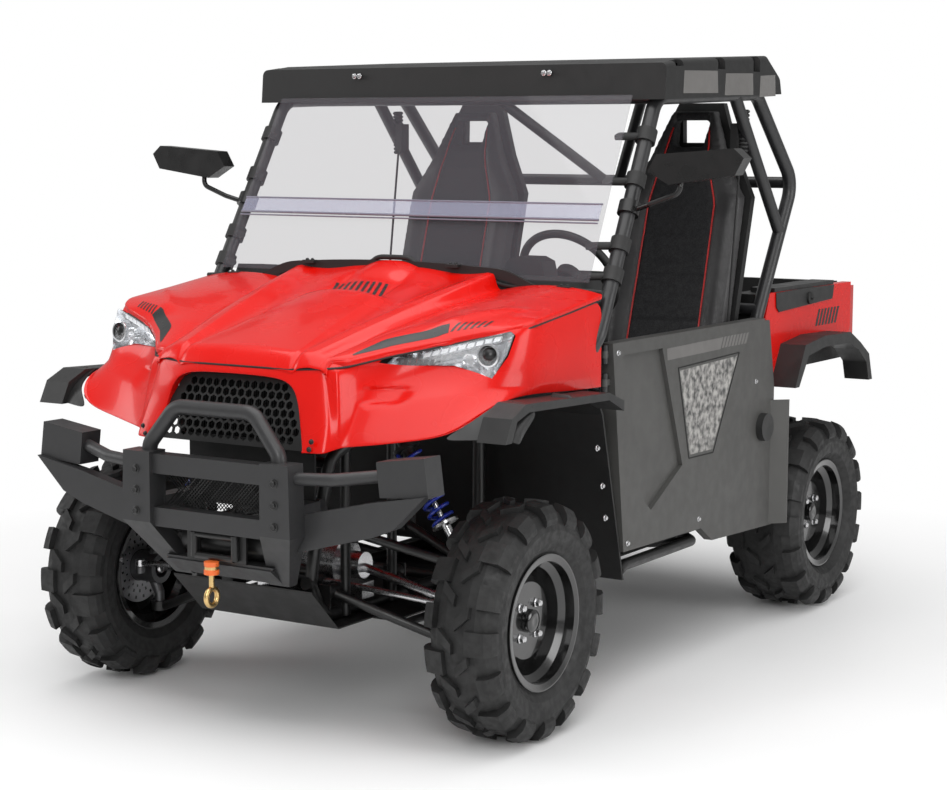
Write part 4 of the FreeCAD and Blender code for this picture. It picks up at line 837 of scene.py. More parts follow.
def on_hood(x, y, lift=0.8):
    """The point of the hood straight under x, y, lifted a little, in millimetres."""
    start = hood.matrix_world.inverted() @ mm(x, y, above_hood)
    hit = hood_tree.ray_cast(start, Vector((0, 0, -1)))[0]
    found = hood.matrix_world @ hit if hit is not None else mm(x, y, hood_height)
    return found + Vector((0, 0, lift / 1000))


# Black for the printed stripes, and for the painted shade in the vent slots
print_and_shade_black = moulded("print_and_shade_black", (0.012, 0.012, 0.012), 0.30, depth=0.00004)
vent_shade_strips = []
for slot in range(9):
    x = -80 + 23 * slot
    rows = [[on_hood(x + side - 41 * part / 4, -858 + 104 * part / 4, 0.6) for part in range(5)]
            for side in (0, 5.5, 11)]
    vent_shade_strips.append(grid(rows))
# The dark strips are painted shade: the shade inside the vent slots
add_piece("hood_vent_shade", join(*vent_shade_strips), print_and_shade_black)
print(len(vent_shade_strips), "vent slots")

# %% [markdown]
# A printed stripe follows the hood's lip on each side and breaks up into slanted hatches. It could
# be a second colour in the paint, but then a mesh edge has to run along it. As a film just above
# the skin it is free of the mesh below, and can be left off another version of the vehicle.

# %% Stripes on the hood
lip_line = [(352, -1344), (430, -1252), (540, -1155), (672, -1098)]
strip_lanes = 3


def lip_point(part, inset):
    """A place beside the hood's lip: part runs along it, inset is millimetres inward."""
    spans = [math.dist(a, b) for a, b in zip(lip_line, lip_line[1:])]
    reach = part * sum(spans)
    for (x0, y0), (x1, y1), span in zip(lip_line, lip_line[1:], spans):
        if reach <= span + 0.001:
            break
        reach -= span
    along = reach / span
    inward = (-(y1 - y0) / span, (x1 - x0) / span)
    return x0 + (x1 - x0) * along + inward[0] * inset, y0 + (y1 - y0) * along + inward[1] * inset


def hood_strip(start, stop, low, high, slant=0.0, steps=12):
    """A strip on the hood beside the lip; low and high are functions of the way along."""
    rows = []
    for lane in range(strip_lanes + 1):
        row = []
        for step in range(steps + 1):
            part = start + (stop - start) * step / steps
            inset = low(part) + (high(part) - low(part)) * lane / strip_lanes
            row.append(on_hood(*lip_point(min(1, part + slant * lane / strip_lanes), inset)))
        rows.append(row)
    return grid(rows)


def stripe_edge(part):
    """The stripe's inner edge widens fast at first and then narrows again."""
    return 16 + 34 * min(1, part / 0.25) * (1 - 0.25 * part)


solid = hood_strip(0.02, 0.66, lambda part: 14, stripe_edge, steps=26)
hatches = [hood_strip(0.67 + 0.045 * k, 0.69 + 0.045 * k, lambda part: 16, lambda part: 46,
                      slant=0.05, steps=2) for k in range(6)]
add_piece("hood_stripes", pair(join(solid, *hatches)), print_and_shade_black)
print("one stripe and", len(hatches), "hatches a side")

# %% [markdown]
# Each door wears a grey band with hatches and, lower down, a mottled print in a dark rim. The
# outer face of the door is flat, so no rays are needed: an outline moved out by half a millimetre
# is a sticker. The stickers ride on the door's own body.

# %% Door stickers
stripe_grey = moulded("stripe_grey", (0.14, 0.135, 0.13), 0.45)
print_pale = finish("print_pale", (0.45, 0.45, 0.43), 0.45)
two_tones(print_pale, 0.022, (0.05, 0.05, 0.05), (0.40, 0.39, 0.37), 6.0)
uneven_gloss(print_pale, 0.04, 0.40, 0.50)
door_face = 750.0  # the doors' outer face, in millimetres off the middle


def plate(outline, out):
    """A thin plate: an outline moved along a vector in millimetres."""
    return closed([outline, [point + Vector(out) / 1000 for point in outline]])


def door_plate(outline):
    """A flat sticker on the left door's outer face from (y, z) places."""
    return plate([mm(door_face, y, z) for y, z in outline], (0.5, 0, 0))


door_band = [door_plate([(-206, 1046), (205, 1051), (185, 1013), (-200, 1009)])]
for hatch in range(8):
    y = 214 + 25 * hatch
    door_band.append(door_plate([(y, 1051), (y + 17, 1052), (y - 3, 1016), (y - 20, 1016)]))
door_print = door_plate([(-112, 969), (318, 980), (136, 688), (-30, 690)])
print("the door's band has", len(door_band), "parts")

# %% [markdown]
# The print's rim is a thin raised line, and four screws hold the door's skin. The line is a round
# tube along the outline. A screw is a flanged hexagon head, turned with six sides on a washer with
# twenty; that is enough for something as small as a fingertip.

# %% Door rims and screws
def tube(line, radius, steps=10):
    """A round tube of the given radius in millimetres along a line of points."""
    loops = []
    side = (line[1] - line[0]).orthogonal().normalized()
    for place, point in enumerate(line):
        ahead = (line[min(place + 1, len(line) - 1)] - line[max(place - 1, 0)]).normalized()
        side = (side - ahead * side.dot(ahead)).normalized()
        other = ahead.cross(side)
        loops.append([point + round_about(side, other, step, steps) * radius / 1000
                      for step in range(steps)])
    return closed(loops)


def bolt(place, out, size):
    """A flanged hexagon head of the given width across, in millimetres."""
    tip = place + Vector(out).normalized()
    washer = [(0, size * 0.75), (size * 0.12, size * 0.75), (size * 0.2, size * 0.62)]
    head = [(0, size * 0.55), (size * 0.5, size * 0.55), (size * 0.62, size * 0.42)]
    return join(lathe(place, tip, washer, 20), lathe(place, tip, head, 6))


def on_side(part, word):
    """A part of the left side, mirrored for the right."""
    return part if word == "left" else mirror(part)


rim_edge = [mm(door_face + 0.5, y, z) for y, z in ((-124, 978), (332, 990), (141, 676), (-38, 679))]
door_rim = [tube([a, b], 2.0, 6) for a, b in zip(rim_edge, rim_edge[1:] + rim_edge[:1])]
door_screws = [bolt(mm(door_face, y, z), (1, 0, 0), 12)
               for y, z in ((-530, 1060), (-455, 470), (40, 470), (470, 880))]
for word in ("left", "right"):
    for name, part, material, slot in (
            ("door_band_", join(*door_band), stripe_grey, "black_plastic"),
            ("door_print_", door_print, print_pale, "black_plastic"),
            ("door_rim_", join(*door_rim), liner_black, "black_plastic"),
            ("door_screws_", join(*door_screws), bright_steel, "steel")):
        add_piece(name + word, on_side(part, word), material, "door_" + word)
print(len(door_screws), "screws a door")

# %% [markdown]
# The same hatches come back on the bed's red sides, and grey marks lie along the roof's edge. A
# colour on the CAD faces would follow their edges only, so these are flat plates like those of the
# doors. The bed tips up, so its stripes ride on the bed.

# %% Stripes on the bed and the roof
def slanted_plate(x, corners):
    """A sticker on a side face at x from its (y, z) corners."""
    return plate([mm(x, y, z) for y, z in corners], (0.6, 0, 0))


bed_marks = [slanted_plate(700, [(y, 1080), (y + 18, 1080), (y - 12, 1020), (y - 30, 1020)])
             for y in range(1130, 1311, 30)]
roof_marks = [slanted_plate(770, [(y0, 1836), (y1, 1842), (y1 - 6, 1912), (y0 + 6, 1906)])
              for y0, y1 in ((-160, 90), (140, 360), (410, 540))]
add_piece("rear_stripes", pair(join(*bed_marks)), print_and_shade_black, "bed")
add_piece("roof_print", pair(join(*roof_marks)), stripe_grey)
print(len(bed_marks), "marks on the bed,", len(roof_marks), "on the roof")

# %% [markdown]
# A blue coil spring sits over a damper at each wheel. The CAD holds the pair as one closed form,
# for which these pieces stand. The coil could be a Screw modifier, but a tube along a computed
# helix lands exactly between the two eyes, whatever their slant.

# %% Springs and dampers
coil_turns, coil_steps, coil_radius = 8, 20, 0.033
damper_eyes = (((300, -1040, 850), (515.4, -1040, 513.1)), ((300, 1040, 800), (492.8, 1040, 501.9)))
coils, bodies, rods = [], [], []
for top, low in damper_eyes:
    a, b = mm(*top), mm(*low)
    line = b - a
    length = line.length * 1000
    side = line.orthogonal().normalized()
    other = line.normalized().cross(side)
    coil_points = coil_turns * coil_steps
    coil = [a + line * (0.17 + 0.575 * step / coil_points)
            + round_about(side, other, step, coil_steps) * coil_radius for step in range(coil_points + 1)]
    coils.append(tube(coil, 5.5, 8))
    bodies.append(lathe(a, b, [(20, 12), (24, 19), (length * 0.13, 19), (length * 0.13, 42),
                               (length * 0.155, 42), (length * 0.16, 21), (length * 0.55, 21),
                               (length * 0.56, 10)], 28))
    rods.append(lathe(a, b, [(length * 0.5, 8), (length * 0.755, 8), (length * 0.755, 41),
                             (length * 0.775, 41), (length * 0.785, 14), (length - 20, 12)], 28))
    for x, y, z in (top, low):
        bodies.append(lathe(mm(x, y - 20, z), mm(x, y + 20, z), [(0, 12), (0, 17), (40, 17), (40, 12)]))
for name, parts, material, slot, sharp in (
        ("spring_coils", coils, spring_blue, "spring_blue", 70),
        ("damper_bodies", bodies, frame_coat, "steel", sharp_angle),
        ("damper_rods", rods, bright_steel, "steel", sharp_angle)):
    add_piece(name, pair(join(*parts)), material, sharp=sharp, stands_for=("shocks",))
print(len(coils), "springs a side with", coil_turns, "turns each")

# %% [markdown]
# Behind each rim sits a brake disc drilled with rings of holes. Boolean cylinders would be exact
# but slow for dozens of holes. Leaving out single faces of a round grid gives holes that read the
# same at this size, on a thin face at either side of the CAD disc.

# %% Drilled brake discs
axle_z, disc_steps = 343, 72
disc_radii = [50, 62, 70, 78, 88, 98, 108, 117.5]
drilled_rows = (1, 3, 5)


def drilled_disc(x, axle_y, side):
    """Two thin drilled faces over the CAD brake disc."""
    centre = mm(side * x, axle_y, axle_z)
    points, faces = [], []
    for wall in (0.4, -5.4):
        first = len(points)
        for radius in disc_radii:
            for step in range(disc_steps):
                angle = 2 * math.pi * step / disc_steps
                points.append(centre + Vector((side * wall, math.cos(angle) * radius,
                                               math.sin(angle) * radius)) / 1000)
        for row in range(len(disc_radii) - 1):
            for step in range(disc_steps):
                if row in drilled_rows and (step + row) % 4 == 0:
                    continue
                a = first + row * disc_steps + step
                b = first + row * disc_steps + (step + 1) % disc_steps
                faces.append([a, b, b + disc_steps, a + disc_steps])
    return points, faces


print("a disc has", len(drilled_disc(694, 0, 1)[1]), "faces")

# %% [markdown]
# Four nuts hold each wheel, and a cap closes its hub. They are turned parts again, placed from the
# rim's outer face and pointing out of the side they are on. All of them ride on the wheel's body.

# %% Nuts, discs and caps
nut_circle, rim_depth, disc_depth = 62, 58, 48
nut_profile = [(-1, 15), (2, 15), (4, 12), (4, 11.5), (14, 11.5), (17, 8)]
cap_profile = [(-18, 34), (-2, 33), (2, 28), (3, 12), (2.4, 10), (2.4, 1)]
for name, rim_x, axle_y in (("front_left", 800, -1040), ("front_right", -800, -1040),
                            ("rear_left", 772, 1040), ("rear_right", -772, 1040)):
    side = 1 if rim_x > 0 else -1
    face_x = abs(rim_x) - rim_depth
    outward = Vector((side, 0, 0))
    nuts = []
    for step in range(4):
        angle = math.radians(45 + 90 * step)
        place = mm(side * (face_x + 2), axle_y + nut_circle * math.cos(angle),
                   axle_z + nut_circle * math.sin(angle))
        nuts.append(lathe(place, place + outward, nut_profile, 6))
    cap_at = mm(side * (face_x + 21), axle_y, axle_z)
    cap = lathe(cap_at, cap_at + outward, cap_profile, 32)
    disc = drilled_disc(face_x - disc_depth, axle_y, side)
    add_piece("nuts_" + name, join(*nuts), bright_steel, "wheel_" + name)
    add_piece("disc_" + name, disc, brake_grey, "wheel_" + name)
    add_piece("cap_" + name, cap, rim_gloss, "wheel_" + name)
    print(name, len(nuts), "nuts")

# %% [markdown]
# The windscreen comes in two sheets that overlap in a pale joint across its width. The overlap
# could be a line in the shader, but its edges catch light as real edges do. So it is a thin clear
# plate just before the screen, with fine tubes for the edges of both sheets.

# %% Joint of the windscreen
screen_normal = Vector((0, -0.868, 0.496))
joint_clear = finish("joint_clear", (0.42, 0.43, 0.56), 0.12)
shader_of(joint_clear).inputs["Alpha"].default_value = 0.35
uneven_gloss(joint_clear, 0.05, 0.08, 0.2)
joint_edge = finish("joint_edge", (0.20, 0.20, 0.25), 0.2, coat=0.3)
uneven_gloss(joint_edge, 0.03, 0.15, 0.28)


def on_screen(x, z, out=0.0):
    """A place on the windscreen's front face, moved out by millimetres."""
    y = -606 + (z - 1290) * 306 / 536
    return mm(x, y, z) + screen_normal * (out / 1000)


overlap = closed([[on_screen(x, z, out) for x, z in ((-674, 1452), (674, 1452), (672, 1494),
                                                     (-672, 1494))] for out in (7, 9)])
edges = [tube([on_screen(-674, z, 8), on_screen(674, z, 8)], size, 8)
         for z, size in ((1450, 4), (1496, 3), (1440, 2.5))]
add_piece("screen_overlap", overlap, joint_clear)
add_piece("screen_joint", join(*edges), joint_edge)
print("joint with", len(edges), "edges")

# %% [markdown]
# A rubber strip closes the gap between the hood and the screen's foot. Its height follows the
# hood's section, so a few heights are given across and a smooth line is drawn through them. A
# Blender curve could do the same; a line of plain points goes straight into the tube helper.

# %% Strip along the cowl
cowl_heights = [(0, 1326), (55, 1324), (85, 1309), (120, 1303), (250, 1299), (335, 1295),
                (362, 1268), (420, 1252), (560, 1249), (700, 1246), (742, 1244)]


def smooth_line(points, steps):
    """A smooth line through points, with some steps from each to the next."""
    ends = [points[0] * 2 - points[1]] + points + [points[-1] * 2 - points[-2]]
    line = []
    for a, b, c, d in zip(ends, ends[1:], ends[2:], ends[3:]):
        for step in range(steps):
            t = step / steps
            line.append(0.5 * (2 * b + (c - a) * t + (2 * a - 5 * b + 4 * c - d) * t ** 2
                               + (3 * b - a - 3 * c + d) * t ** 3))
    return line + [points[-1]]


cowl_line = smooth_line([mm(x, -617, z) for x, z in cowl_heights], 5)
add_piece("cowl_strip", pair(tube(cowl_line, 8, 10)), soft_rubber_and_seam_shade)
print("cowl strip of", len(cowl_line), "points a side")

# %% [markdown]
# Small latches hold the screen's foot, and their height is read from the same table as the strip,
# so both move together. Each is a block with two bolts. A Bevel modifier takes the sharpness off,
# because no moulded part has a perfect edge.

# %% Latches of the windscreen
latch_corners = ((-0.022, -0.012), (0.022, -0.012), (0.022, 0.018), (-0.022, 0.018))
latches = []
for x in (-316, 228, -620, 620):
    base = mm(x, -628, between(cowl_heights, abs(x)) + 2)
    latches.append(closed([[base + Vector((dx, dy, dz)) for dx, dy in latch_corners]
                           for dz in (0, 0.010)]))
    for dx in (-0.010, 0.010):
        latches.append(bolt(base + Vector((dx, 0, 0.010)), (0, -0.3, 1), 9))
latch = add_piece("screen_latches", join(*latches), flare_black)
modify(latch, "BEVEL", width=0.002, segments=2)
print("latch parts", len(latches))

# %% [markdown]
# The roof is bolted to the front tube, and each belt leaves its post through a ribbed boot. A boot
# could be a tube with a bump on it, but its ribs show in the outline. So the ribs are in the
# profile that is turned: out, along and in again, twelve times over.

# %% Roof bolts and belt boots
roof_bolts = [bolt(mm(x, -286, 1900), (0, -1, 0), 12) for x in (-381, -361, 345, 365)]
add_piece("roof_bolts", join(*roof_bolts), bright_steel)
rib_pitch, rib_low, rib_high = 13, 14, 19
boot_profile = []
for rib in range(12):
    start = rib * rib_pitch
    boot_profile += [(start, rib_low), (start + 4, rib_high), (start + 9, rib_high),
                     (start + rib_pitch, rib_low)]
boots = [lathe(mm(side * 696, 446, 1640), mm(side * 700, 446, 1800), boot_profile, 20)
         for side in (1, -1)]
add_piece("belt_bellows", join(*boots), soft_rubber_and_seam_shade, sharp=30)
print(len(roof_bolts), "roof bolts and", len(boots), "boots")

# %% [markdown]
# Bolts with washers hold the bumper's posts and the fascia's foot. One bolt shape serves
# them all, in two sizes, each pointing straight out of its panel. They could be scattered by a
# modifier, but their real places are few and known.

# %% Bolts at the front
front_bolts = [bolt(mm(245, -1560, z), (0, -1, 0), 17) for z in (640, 700, 760)]
front_bolts += [bolt(mm(*place), (0.2, -1, 0.1), 10) for place in ((300, -1462, 868), (292, -1462, 846))]
add_piece("front_bolts", pair(join(*front_bolts)), frame_coat)
print(len(front_bolts), "bolts a side")

# %% [markdown]
# A mesh of thin crossing bars fills the bumper's window. A see-through pattern in a shader would
# cast no proper shadow and look flat up close. Two families of leaning tubes do it with few faces,
# and a bar that would leave the window is dropped.

# %% Mesh in the bumper
mesh_y, mesh_low, mesh_high, mesh_half = -1492, 655, 743, 196
bar_pitch, bar_lean = 12, 44
bars = []
for place in range(-16, 17):
    for lean in (-bar_lean, bar_lean):
        foot, top = place * bar_pitch - lean, place * bar_pitch + lean
        if max(abs(foot), abs(top)) < mesh_half:
            bars.append(tube([mm(foot, mesh_y, mesh_low), mm(top, mesh_y, mesh_high)], 1.6, 5))
add_piece("bumper_mesh", join(*bars), frame_coat)
print(len(bars), "bars")

# %% [markdown]
# Bright bolts dot the arches. On the bed's sides, each lid has a raised face and a turning knob.
# The face could be pressed into the CAD lid, but that mesh stays as it is, so a thin plate with a
# small bevel is laid on it. Face and knob ride on the lid.

# %% Arch bolts and side lids
arch_bolts = [bolt(mm(740, y, z), (1, 0, 0), 13)
              for y, z in ((-638, 785), (-604, 667), (-583, 567), (-1216, 900))]
add_piece("arch_bolts", pair(join(*arch_bolts)), bright_steel)
knob_profile = [(-4, 22), (6, 22), (9, 18), (9, 6), (16, 5), (17, 3)]
lid_face = plate([mm(701, y, z) for y, z in ((736, 1164), (985, 1166), (1265, 1164), (1250, 1112),
                                             (762, 1094), (740, 1112))], (4, 0, 0))
for word, side in (("left", 1), ("right", -1)):
    knob_at = mm(side * 706, 1028, 1128)
    knob = lathe(knob_at, knob_at + Vector((side, 0, 0)), knob_profile)
    face = add_piece("lid_face_" + word, on_side(lid_face, word), flare_black,
                     "lid_" + word)
    modify(face, "BEVEL", width=0.0015, segments=2)
    add_piece("lid_knob_" + word, knob, liner_black, "lid_" + word)
print(len(arch_bolts), "arch bolts a side")

# %% [markdown]
# The seats are foam under sewn covers: woven cloth in the middle, a smoother hide on the bolsters
# and a red piping in the seams. A weave could be modelled thread by thread; a very fine two-tone
# noise with a relief gives the same look from a metre away.

# %% Finishes of the seats
seat_cloth = finish("seat_cloth", (0.012, 0.012, 0.013), 0.75)
two_tones(seat_cloth, 0.004, (0.008, 0.008, 0.009), (0.024, 0.024, 0.026), 2.0)
uneven_gloss(seat_cloth, 0.02, 0.66, 0.84)
relief(seat_cloth, 0.0012, 0.00025)
bolster_hide = finish("bolster_hide", (0.040, 0.039, 0.040), 0.5)
two_tones(bolster_hide, 0.12, (0.032, 0.031, 0.032), (0.052, 0.051, 0.052))
uneven_gloss(bolster_hide, 0.01, 0.42, 0.58)
relief(bolster_hide, 0.0016, 0.0002, 3.0)
piping_red = finish("piping_red", (0.55, 0.01, 0.01), 0.4)
two_tones(piping_red, 0.004, (0.45, 0.008, 0.008), (0.62, 0.014, 0.012))
relief(piping_red, 0.001, 0.0001)
print("seat finishes", [cover.name for cover in (seat_cloth, bolster_hide, piping_red)])

# %% [markdown]
# A pad bulges between its seams because foam pushes the cover out. Sculpting that is guesswork. A
# short cloth simulation with inner pressure finds the bulge by itself, on a mesh that a voxel
# remesh has made even. Its movement is capped, so that a pad can't leave its place.

# %% Foam that swells
voxel, pressure, cloth_frames = 0.008, 4, 20


def swell(obj, cap):
    """Blows the pad up with a short cloth simulation, moving no point further than the cap."""
    modify(obj, "REMESH", mode="VOXEL", voxel_size=voxel)
    mesh = bake(obj)
    start = [vertex.co.copy() for vertex in mesh.vertices]
    cloth = obj.modifiers.new("cloth", "CLOTH")
    cloth.settings.quality = 4
    cloth.settings.use_pressure = True
    cloth.settings.uniform_pressure_force = pressure
    cloth.settings.effector_weights.gravity = 0
    scene = bpy.context.scene
    for step in range(1, cloth_frames + 1):
        scene.frame_set(step)
    mesh = bake(obj)
    scene.frame_set(1)
    for vertex, before in zip(mesh.vertices, start):
        move = vertex.co - before
        if move.length > cap:
            vertex.co = before + move * (cap / move.length)
    return mesh


print("pads are remeshed at", voxel * 1000, "mm")

# %% [markdown]
# The back rest leans rearward, narrows to a head rest and has an opening there. It could be bent
# from a block, but its front view is what shows, so an outline is carried from front to rear. It
# starts a little smaller than the CAD's, because it still has to swell. The opening is cut before
# that, so its rim rounds off like the rest.

# %% Back rest
seat_x, seat_start = 450, 9  # the seat's middle, and how much smaller the outline starts


def seat_lean(z):
    """Y of the leaning seat back at height z."""
    return 330 + (z - 900) * 0.26


def seat_front(z):
    """Y of the seat back's front at height z."""
    return seat_lean(z) + 63.7 - between([(910, 90), (1812, 63)], z)


def inset(places, by):
    """An outline pulled in towards its middle by about the given millimetres."""
    cx = sum(x for x, z in places) / len(places)
    cz = sum(z for x, z in places) / len(places)
    moved = []
    for x, z in places:
        span = math.hypot(x - cx, z - cz)
        moved.append((x - (x - cx) / span * by, z - (z - cz) / span * by))
    return moved


outline = inset([(-234, 912), (234, 912), (235, 1500), (155, 1640), (80, 1810), (-80, 1810),
                 (-155, 1640), (-235, 1500)], seat_start)
head_opening = ((-56, 1679), (56, 1679), (68, 1771), (-68, 1771))
back_part = closed([[mm(seat_x + x, seat_front(z) + 6, z) for x, z in outline],
                    [mm(seat_x + x, seat_lean(z) + 58, z) for x, z in outline]])
back = add_piece("seat_back_pad_left", back_part, seat_cloth, stands_for=("seat_backs",))
cut(back, closed([[mm(seat_x + x, y, z) for x, z in head_opening] for y in (200, 900)]))
back_mesh = swell(back, 0.009)
print("back rest", len(back_mesh.polygons), "faces")

# %% [markdown]
# A sewn seam pulls the cover down to the foam, beside each bolster and in three lines across. The
# simulation could sew them, but would need many more frames. Pressing soft grooves into the
# swollen pad is quick and lands them exactly where the seams are on the real seat.

# %% Seams of the back rest
def seam_x(z):
    """Distance of the bolster's seam from the seat's middle at height z."""
    return between([(900, 134), (1480, 126), (1640, 84), (1700, 76), (1830, 52)], z)


def seat_place(point):
    """A place on the left seat in millimetres, with x from the seat's middle."""
    return point.x * 1000 - seat_x, point.y * 1000 - wheelbase_shift, point.z * 1000


bolster_rise, seam_depth, cross_depth = 0.020, 0.007, 0.004
for vertex in back_mesh.vertices:
    x, y, z = seat_place(vertex.co)
    front = clamp((seat_front(z) + 45 - y) / 40)
    rise = soft_ridge(abs(x) - 185, 48) * clamp((1600 - z) / 160)
    low = clamp((1590 - z) / 120)
    groove = seam_depth * soft_ridge(abs(x) - seam_x(z), 6)
    vertex.co.y += front * (bolster_rise * low * (1 - rise) + groove)
    for level in (1080, 1230, 1380):
        if abs(x) < seam_x(z):
            vertex.co.y += front * cross_depth * soft_ridge(z - level, 7)
print("seam", seam_x(900), "mm off the middle below,", seam_x(1830), "mm above")

# %% [markdown]
# The cushion is the same work lying down: a side view carried across the seat's width, swollen,
# then pressed down in the middle and along its seams. Sculpting would do as well, but the numbers
# keep both pads alike. The bolsters at its two sides stay high.

# %% Seat cushion
cushion_seam, hollow, cushion_groove = 136, 0.016, 0.006
side_view = [(-112, 838), (322, 838), (286, 898), (-58, 940), (-117, 924)]
cushion_part = closed([[mm(seat_x + x, y, z) for y, z in side_view] for x in (-232, 232)])
cushion = add_piece("seat_pad_left", cushion_part, seat_cloth,
                    stands_for=("seat_cushions",))
cushion_mesh = swell(cushion, 0.010)
for vertex in cushion_mesh.vertices:
    x, y, z = seat_place(vertex.co)
    top = clamp((z - 862) / 40)
    rise = soft_ridge(abs(x) - 190, 44)
    vertex.co.z -= top * (hollow * (1 - rise) + cushion_groove * soft_ridge(abs(x) - cushion_seam, 6))
    for level in (0, 120, 240):
        if abs(x) < cushion_seam:
            vertex.co.z -= top * cross_depth * soft_ridge(y - level, 7)
print("cushion", len(cushion_mesh.polygons), "faces")

# %% [markdown]
# Hide covers the bolsters, cloth the middle. Two meshes would leave a gap between them, so one
# mesh carries both finishes: every face outside the seam gets the second one. One more level of
# subdivision then smooths the pads.

# %% Cloth and hide
for pad, seam_at in ((back, seam_x), (cushion, lambda z: cushion_seam)):
    pad.data.materials.append(bolster_hide)
    for face in pad.data.polygons:
        x, y, z = seat_place(face.center)
        if abs(x) > seam_at(z):
            face.material_index = 1
    pad.data.update()
    modify(pad, "SUBSURF", levels=1, render_levels=1)
    bake(pad, sharp=180)
    print(pad.name, len(pad.data.polygons), "faces")

# %% [markdown]
# Piping is a thin cord sewn into a seam. Drawn as a colour it would have ragged edges on this mesh.
# Rays against the finished pads find the bottom of each groove, and a tube is laid along the hits.

# %% Red piping
piping_radius, piping_lift = 3.2, 0.001
back_tree, cushion_tree = tree_of(back), tree_of(cushion)


def pipe(tree, starts, way):
    """A cord over the places where rays from the starts hit a pad."""
    hits = [tree.ray_cast(start, way)[0] for start in starts]
    return tube([hit - way * piping_lift for hit in hits if hit is not None], piping_radius, 8)


pipes = []
for side in (-1, 1):
    heights = [945 + step * 24 for step in range(34)]
    pipes.append(pipe(back_tree, [mm(seat_x + side * seam_x(z), 0, z) for z in heights],
                      Vector((0, 1, 0))))
    pipes.append(pipe(cushion_tree, [mm(seat_x + side * cushion_seam, -100 + step * 25, 1100)
                                     for step in range(16)], Vector((0, 0, -1))))
for word in ("left", "right"):
    add_piece("seat_piping_" + word, on_side(join(*pipes), word), piping_red, sharp=180)
print(len(pipes), "cords a seat")

# %% [markdown]
# The other seat is the same seat mirrored. A Mirror modifier would join both into one piece, but
# each pad is a piece of its own. So the finished mesh is copied with its points flipped. All four
# pads are then printed with how full they are.

# %% The other seat
def other_side(obj, name, stands_for):
    """A mirrored copy of a pad on the other seat."""
    part = mirror(([vertex.co.copy() for vertex in obj.data.vertices],
                   [list(face.vertices) for face in obj.data.polygons]))
    copy = add_piece(name, part, seat_cloth, sharp=180, stands_for=stands_for)
    copy.data.materials.append(bolster_hide)
    for face, twin in zip(copy.data.polygons, obj.data.polygons):
        face.material_index = twin.material_index
    return copy


back_twin = other_side(back, "seat_back_pad_right", ("seat_backs",))
cushion_twin = other_side(cushion, "seat_pad_right", ("seat_cushions",))
for pad, fill in ((back, 0.7), (back_twin, 0.7), (cushion, 0.8), (cushion_twin, 0.8)):
    print(pad.name, "filled", fill)

# %% [markdown]
# What shows through the grille is a radiator: a core, a row of thin fins and a frame of bars. A
# striped picture would shimmer and stay flat. Plain boxes are cheap enough to model every fin that
# can be seen.

# %% Radiator
def box(x0, x1, y0, y1, z0, z1):
    """A plain box between places in millimetres."""
    return closed([[mm(x0, y0, z), mm(x1, y0, z), mm(x1, y1, z), mm(x0, y1, z)] for z in (z0, z1)])


core = box(-225, 225, -1346, -1338, 642, 1038)
cooling_fins = [box(x, x + 1.6, -1372, -1344, 850, 1030) for x in range(-214, 214, 7)]
frame_bars = [box(x0, x1, -1376, -1336, z0, z1)
              for x0, x1, z0, z1 in ((-232, 232, 832, 848), (-232, 232, 1032, 1046),
                                     (-236, -218, 832, 1046), (218, 236, 832, 1046))]
add_piece("radiator", join(core, *cooling_fins, *frame_bars), liner_black)
print(len(cooling_fins), "cooling fins")

# %% [markdown]
# Beside the nose the arch flares wrap forward to meet the fascia. The CAD flare ends before that
# corner, and its mesh isn't changed. A small patch from five rows of points closes the corner; it
# is rounded by subdivision and gets a wall, as the big skins do.

# %% Flare corners
corner_rows = [
    [(640, -1334, 884), (675, -1306, 910), (712, -1280, 938), (730, -1222, 968), (744, -1160, 986)],
    [(690, -1326, 887), (722, -1298, 912), (752, -1268, 936), (764, -1220, 962), (772, -1165, 980)],
    [(760, -1300, 890), (782, -1278, 908), (800, -1252, 930), (808, -1215, 952), (812, -1168, 974)],
    [(826, -1266, 888), (832, -1252, 898), (836, -1238, 914), (838, -1210, 936), (838, -1172, 960)],
    [(838, -1256, 876), (839, -1247, 886), (839, -1234, 900), (839, -1207, 921), (839, -1172, 944)],
]
corners = add_piece("flare_corners", pair(grid(in_metres(corner_rows))), flare_black)
modify(corners, "SUBSURF", levels=2, render_levels=2)
modify(corners, "SOLIDIFY", thickness=0.004, offset=-1)
bake(corners)
print("flare corners", len(corners.data.polygons), "faces")

# %% [markdown]
# Two low ribs stiffen the top of each front flare. They could be boxes, but each narrows upward, so
# two loops of four points say it all, and a Bevel modifier softens the edges.

# %% Ribs on the flares
ribs = []
for y in (-1180, -958):
    foot = [(768, y - 14, 972), (838, y - 9, 972), (838, y + 9, 972), (768, y + 14, 972)]
    crest = [(772, y - 5, 984), (824, y - 4, 981), (824, y + 4, 981), (772, y + 5, 984)]
    ribs.append(closed(in_metres([foot, crest])))
flare_ribs = add_piece("flare_ribs", pair(join(*ribs)), flare_black)
modify(flare_ribs, "BEVEL", width=0.002, segments=2)
print(len(ribs), "ribs a side")

# %% [markdown]
# The seam under the hood's lip lies in shade, and a dark tube there paints that shade. The seam
# could be left as a gap, but light would fall through it. The tube runs along the very tables that
# shaped the lip, a little below them, and round the nose by a few points of its own.

# %% Painted shade in the seam under the hood
nose_seam_shade = [mm(0, -1415, 1056), mm(110, -1414, 1056), mm(186, -1412, 1055), mm(235, -1402, 1058),
             mm(285, -1390, 1060), mm(325, -1374, 1064)]
lip_seam_shade = [mm(between(plan, y) - 3, y, between(lip_heights, along_hood(y)) - 16)
            for y in stations[2:-1]]
# The dark tube is painted shade: it darkens the seam under the hood's lip
add_piece("hood_seam_shade", pair(tube(nose_seam_shade + lip_seam_shade, 3.2, 8)), soft_rubber_and_seam_shade)
print("seal of", len(nose_seam_shade + lip_seam_shade), "points a side")
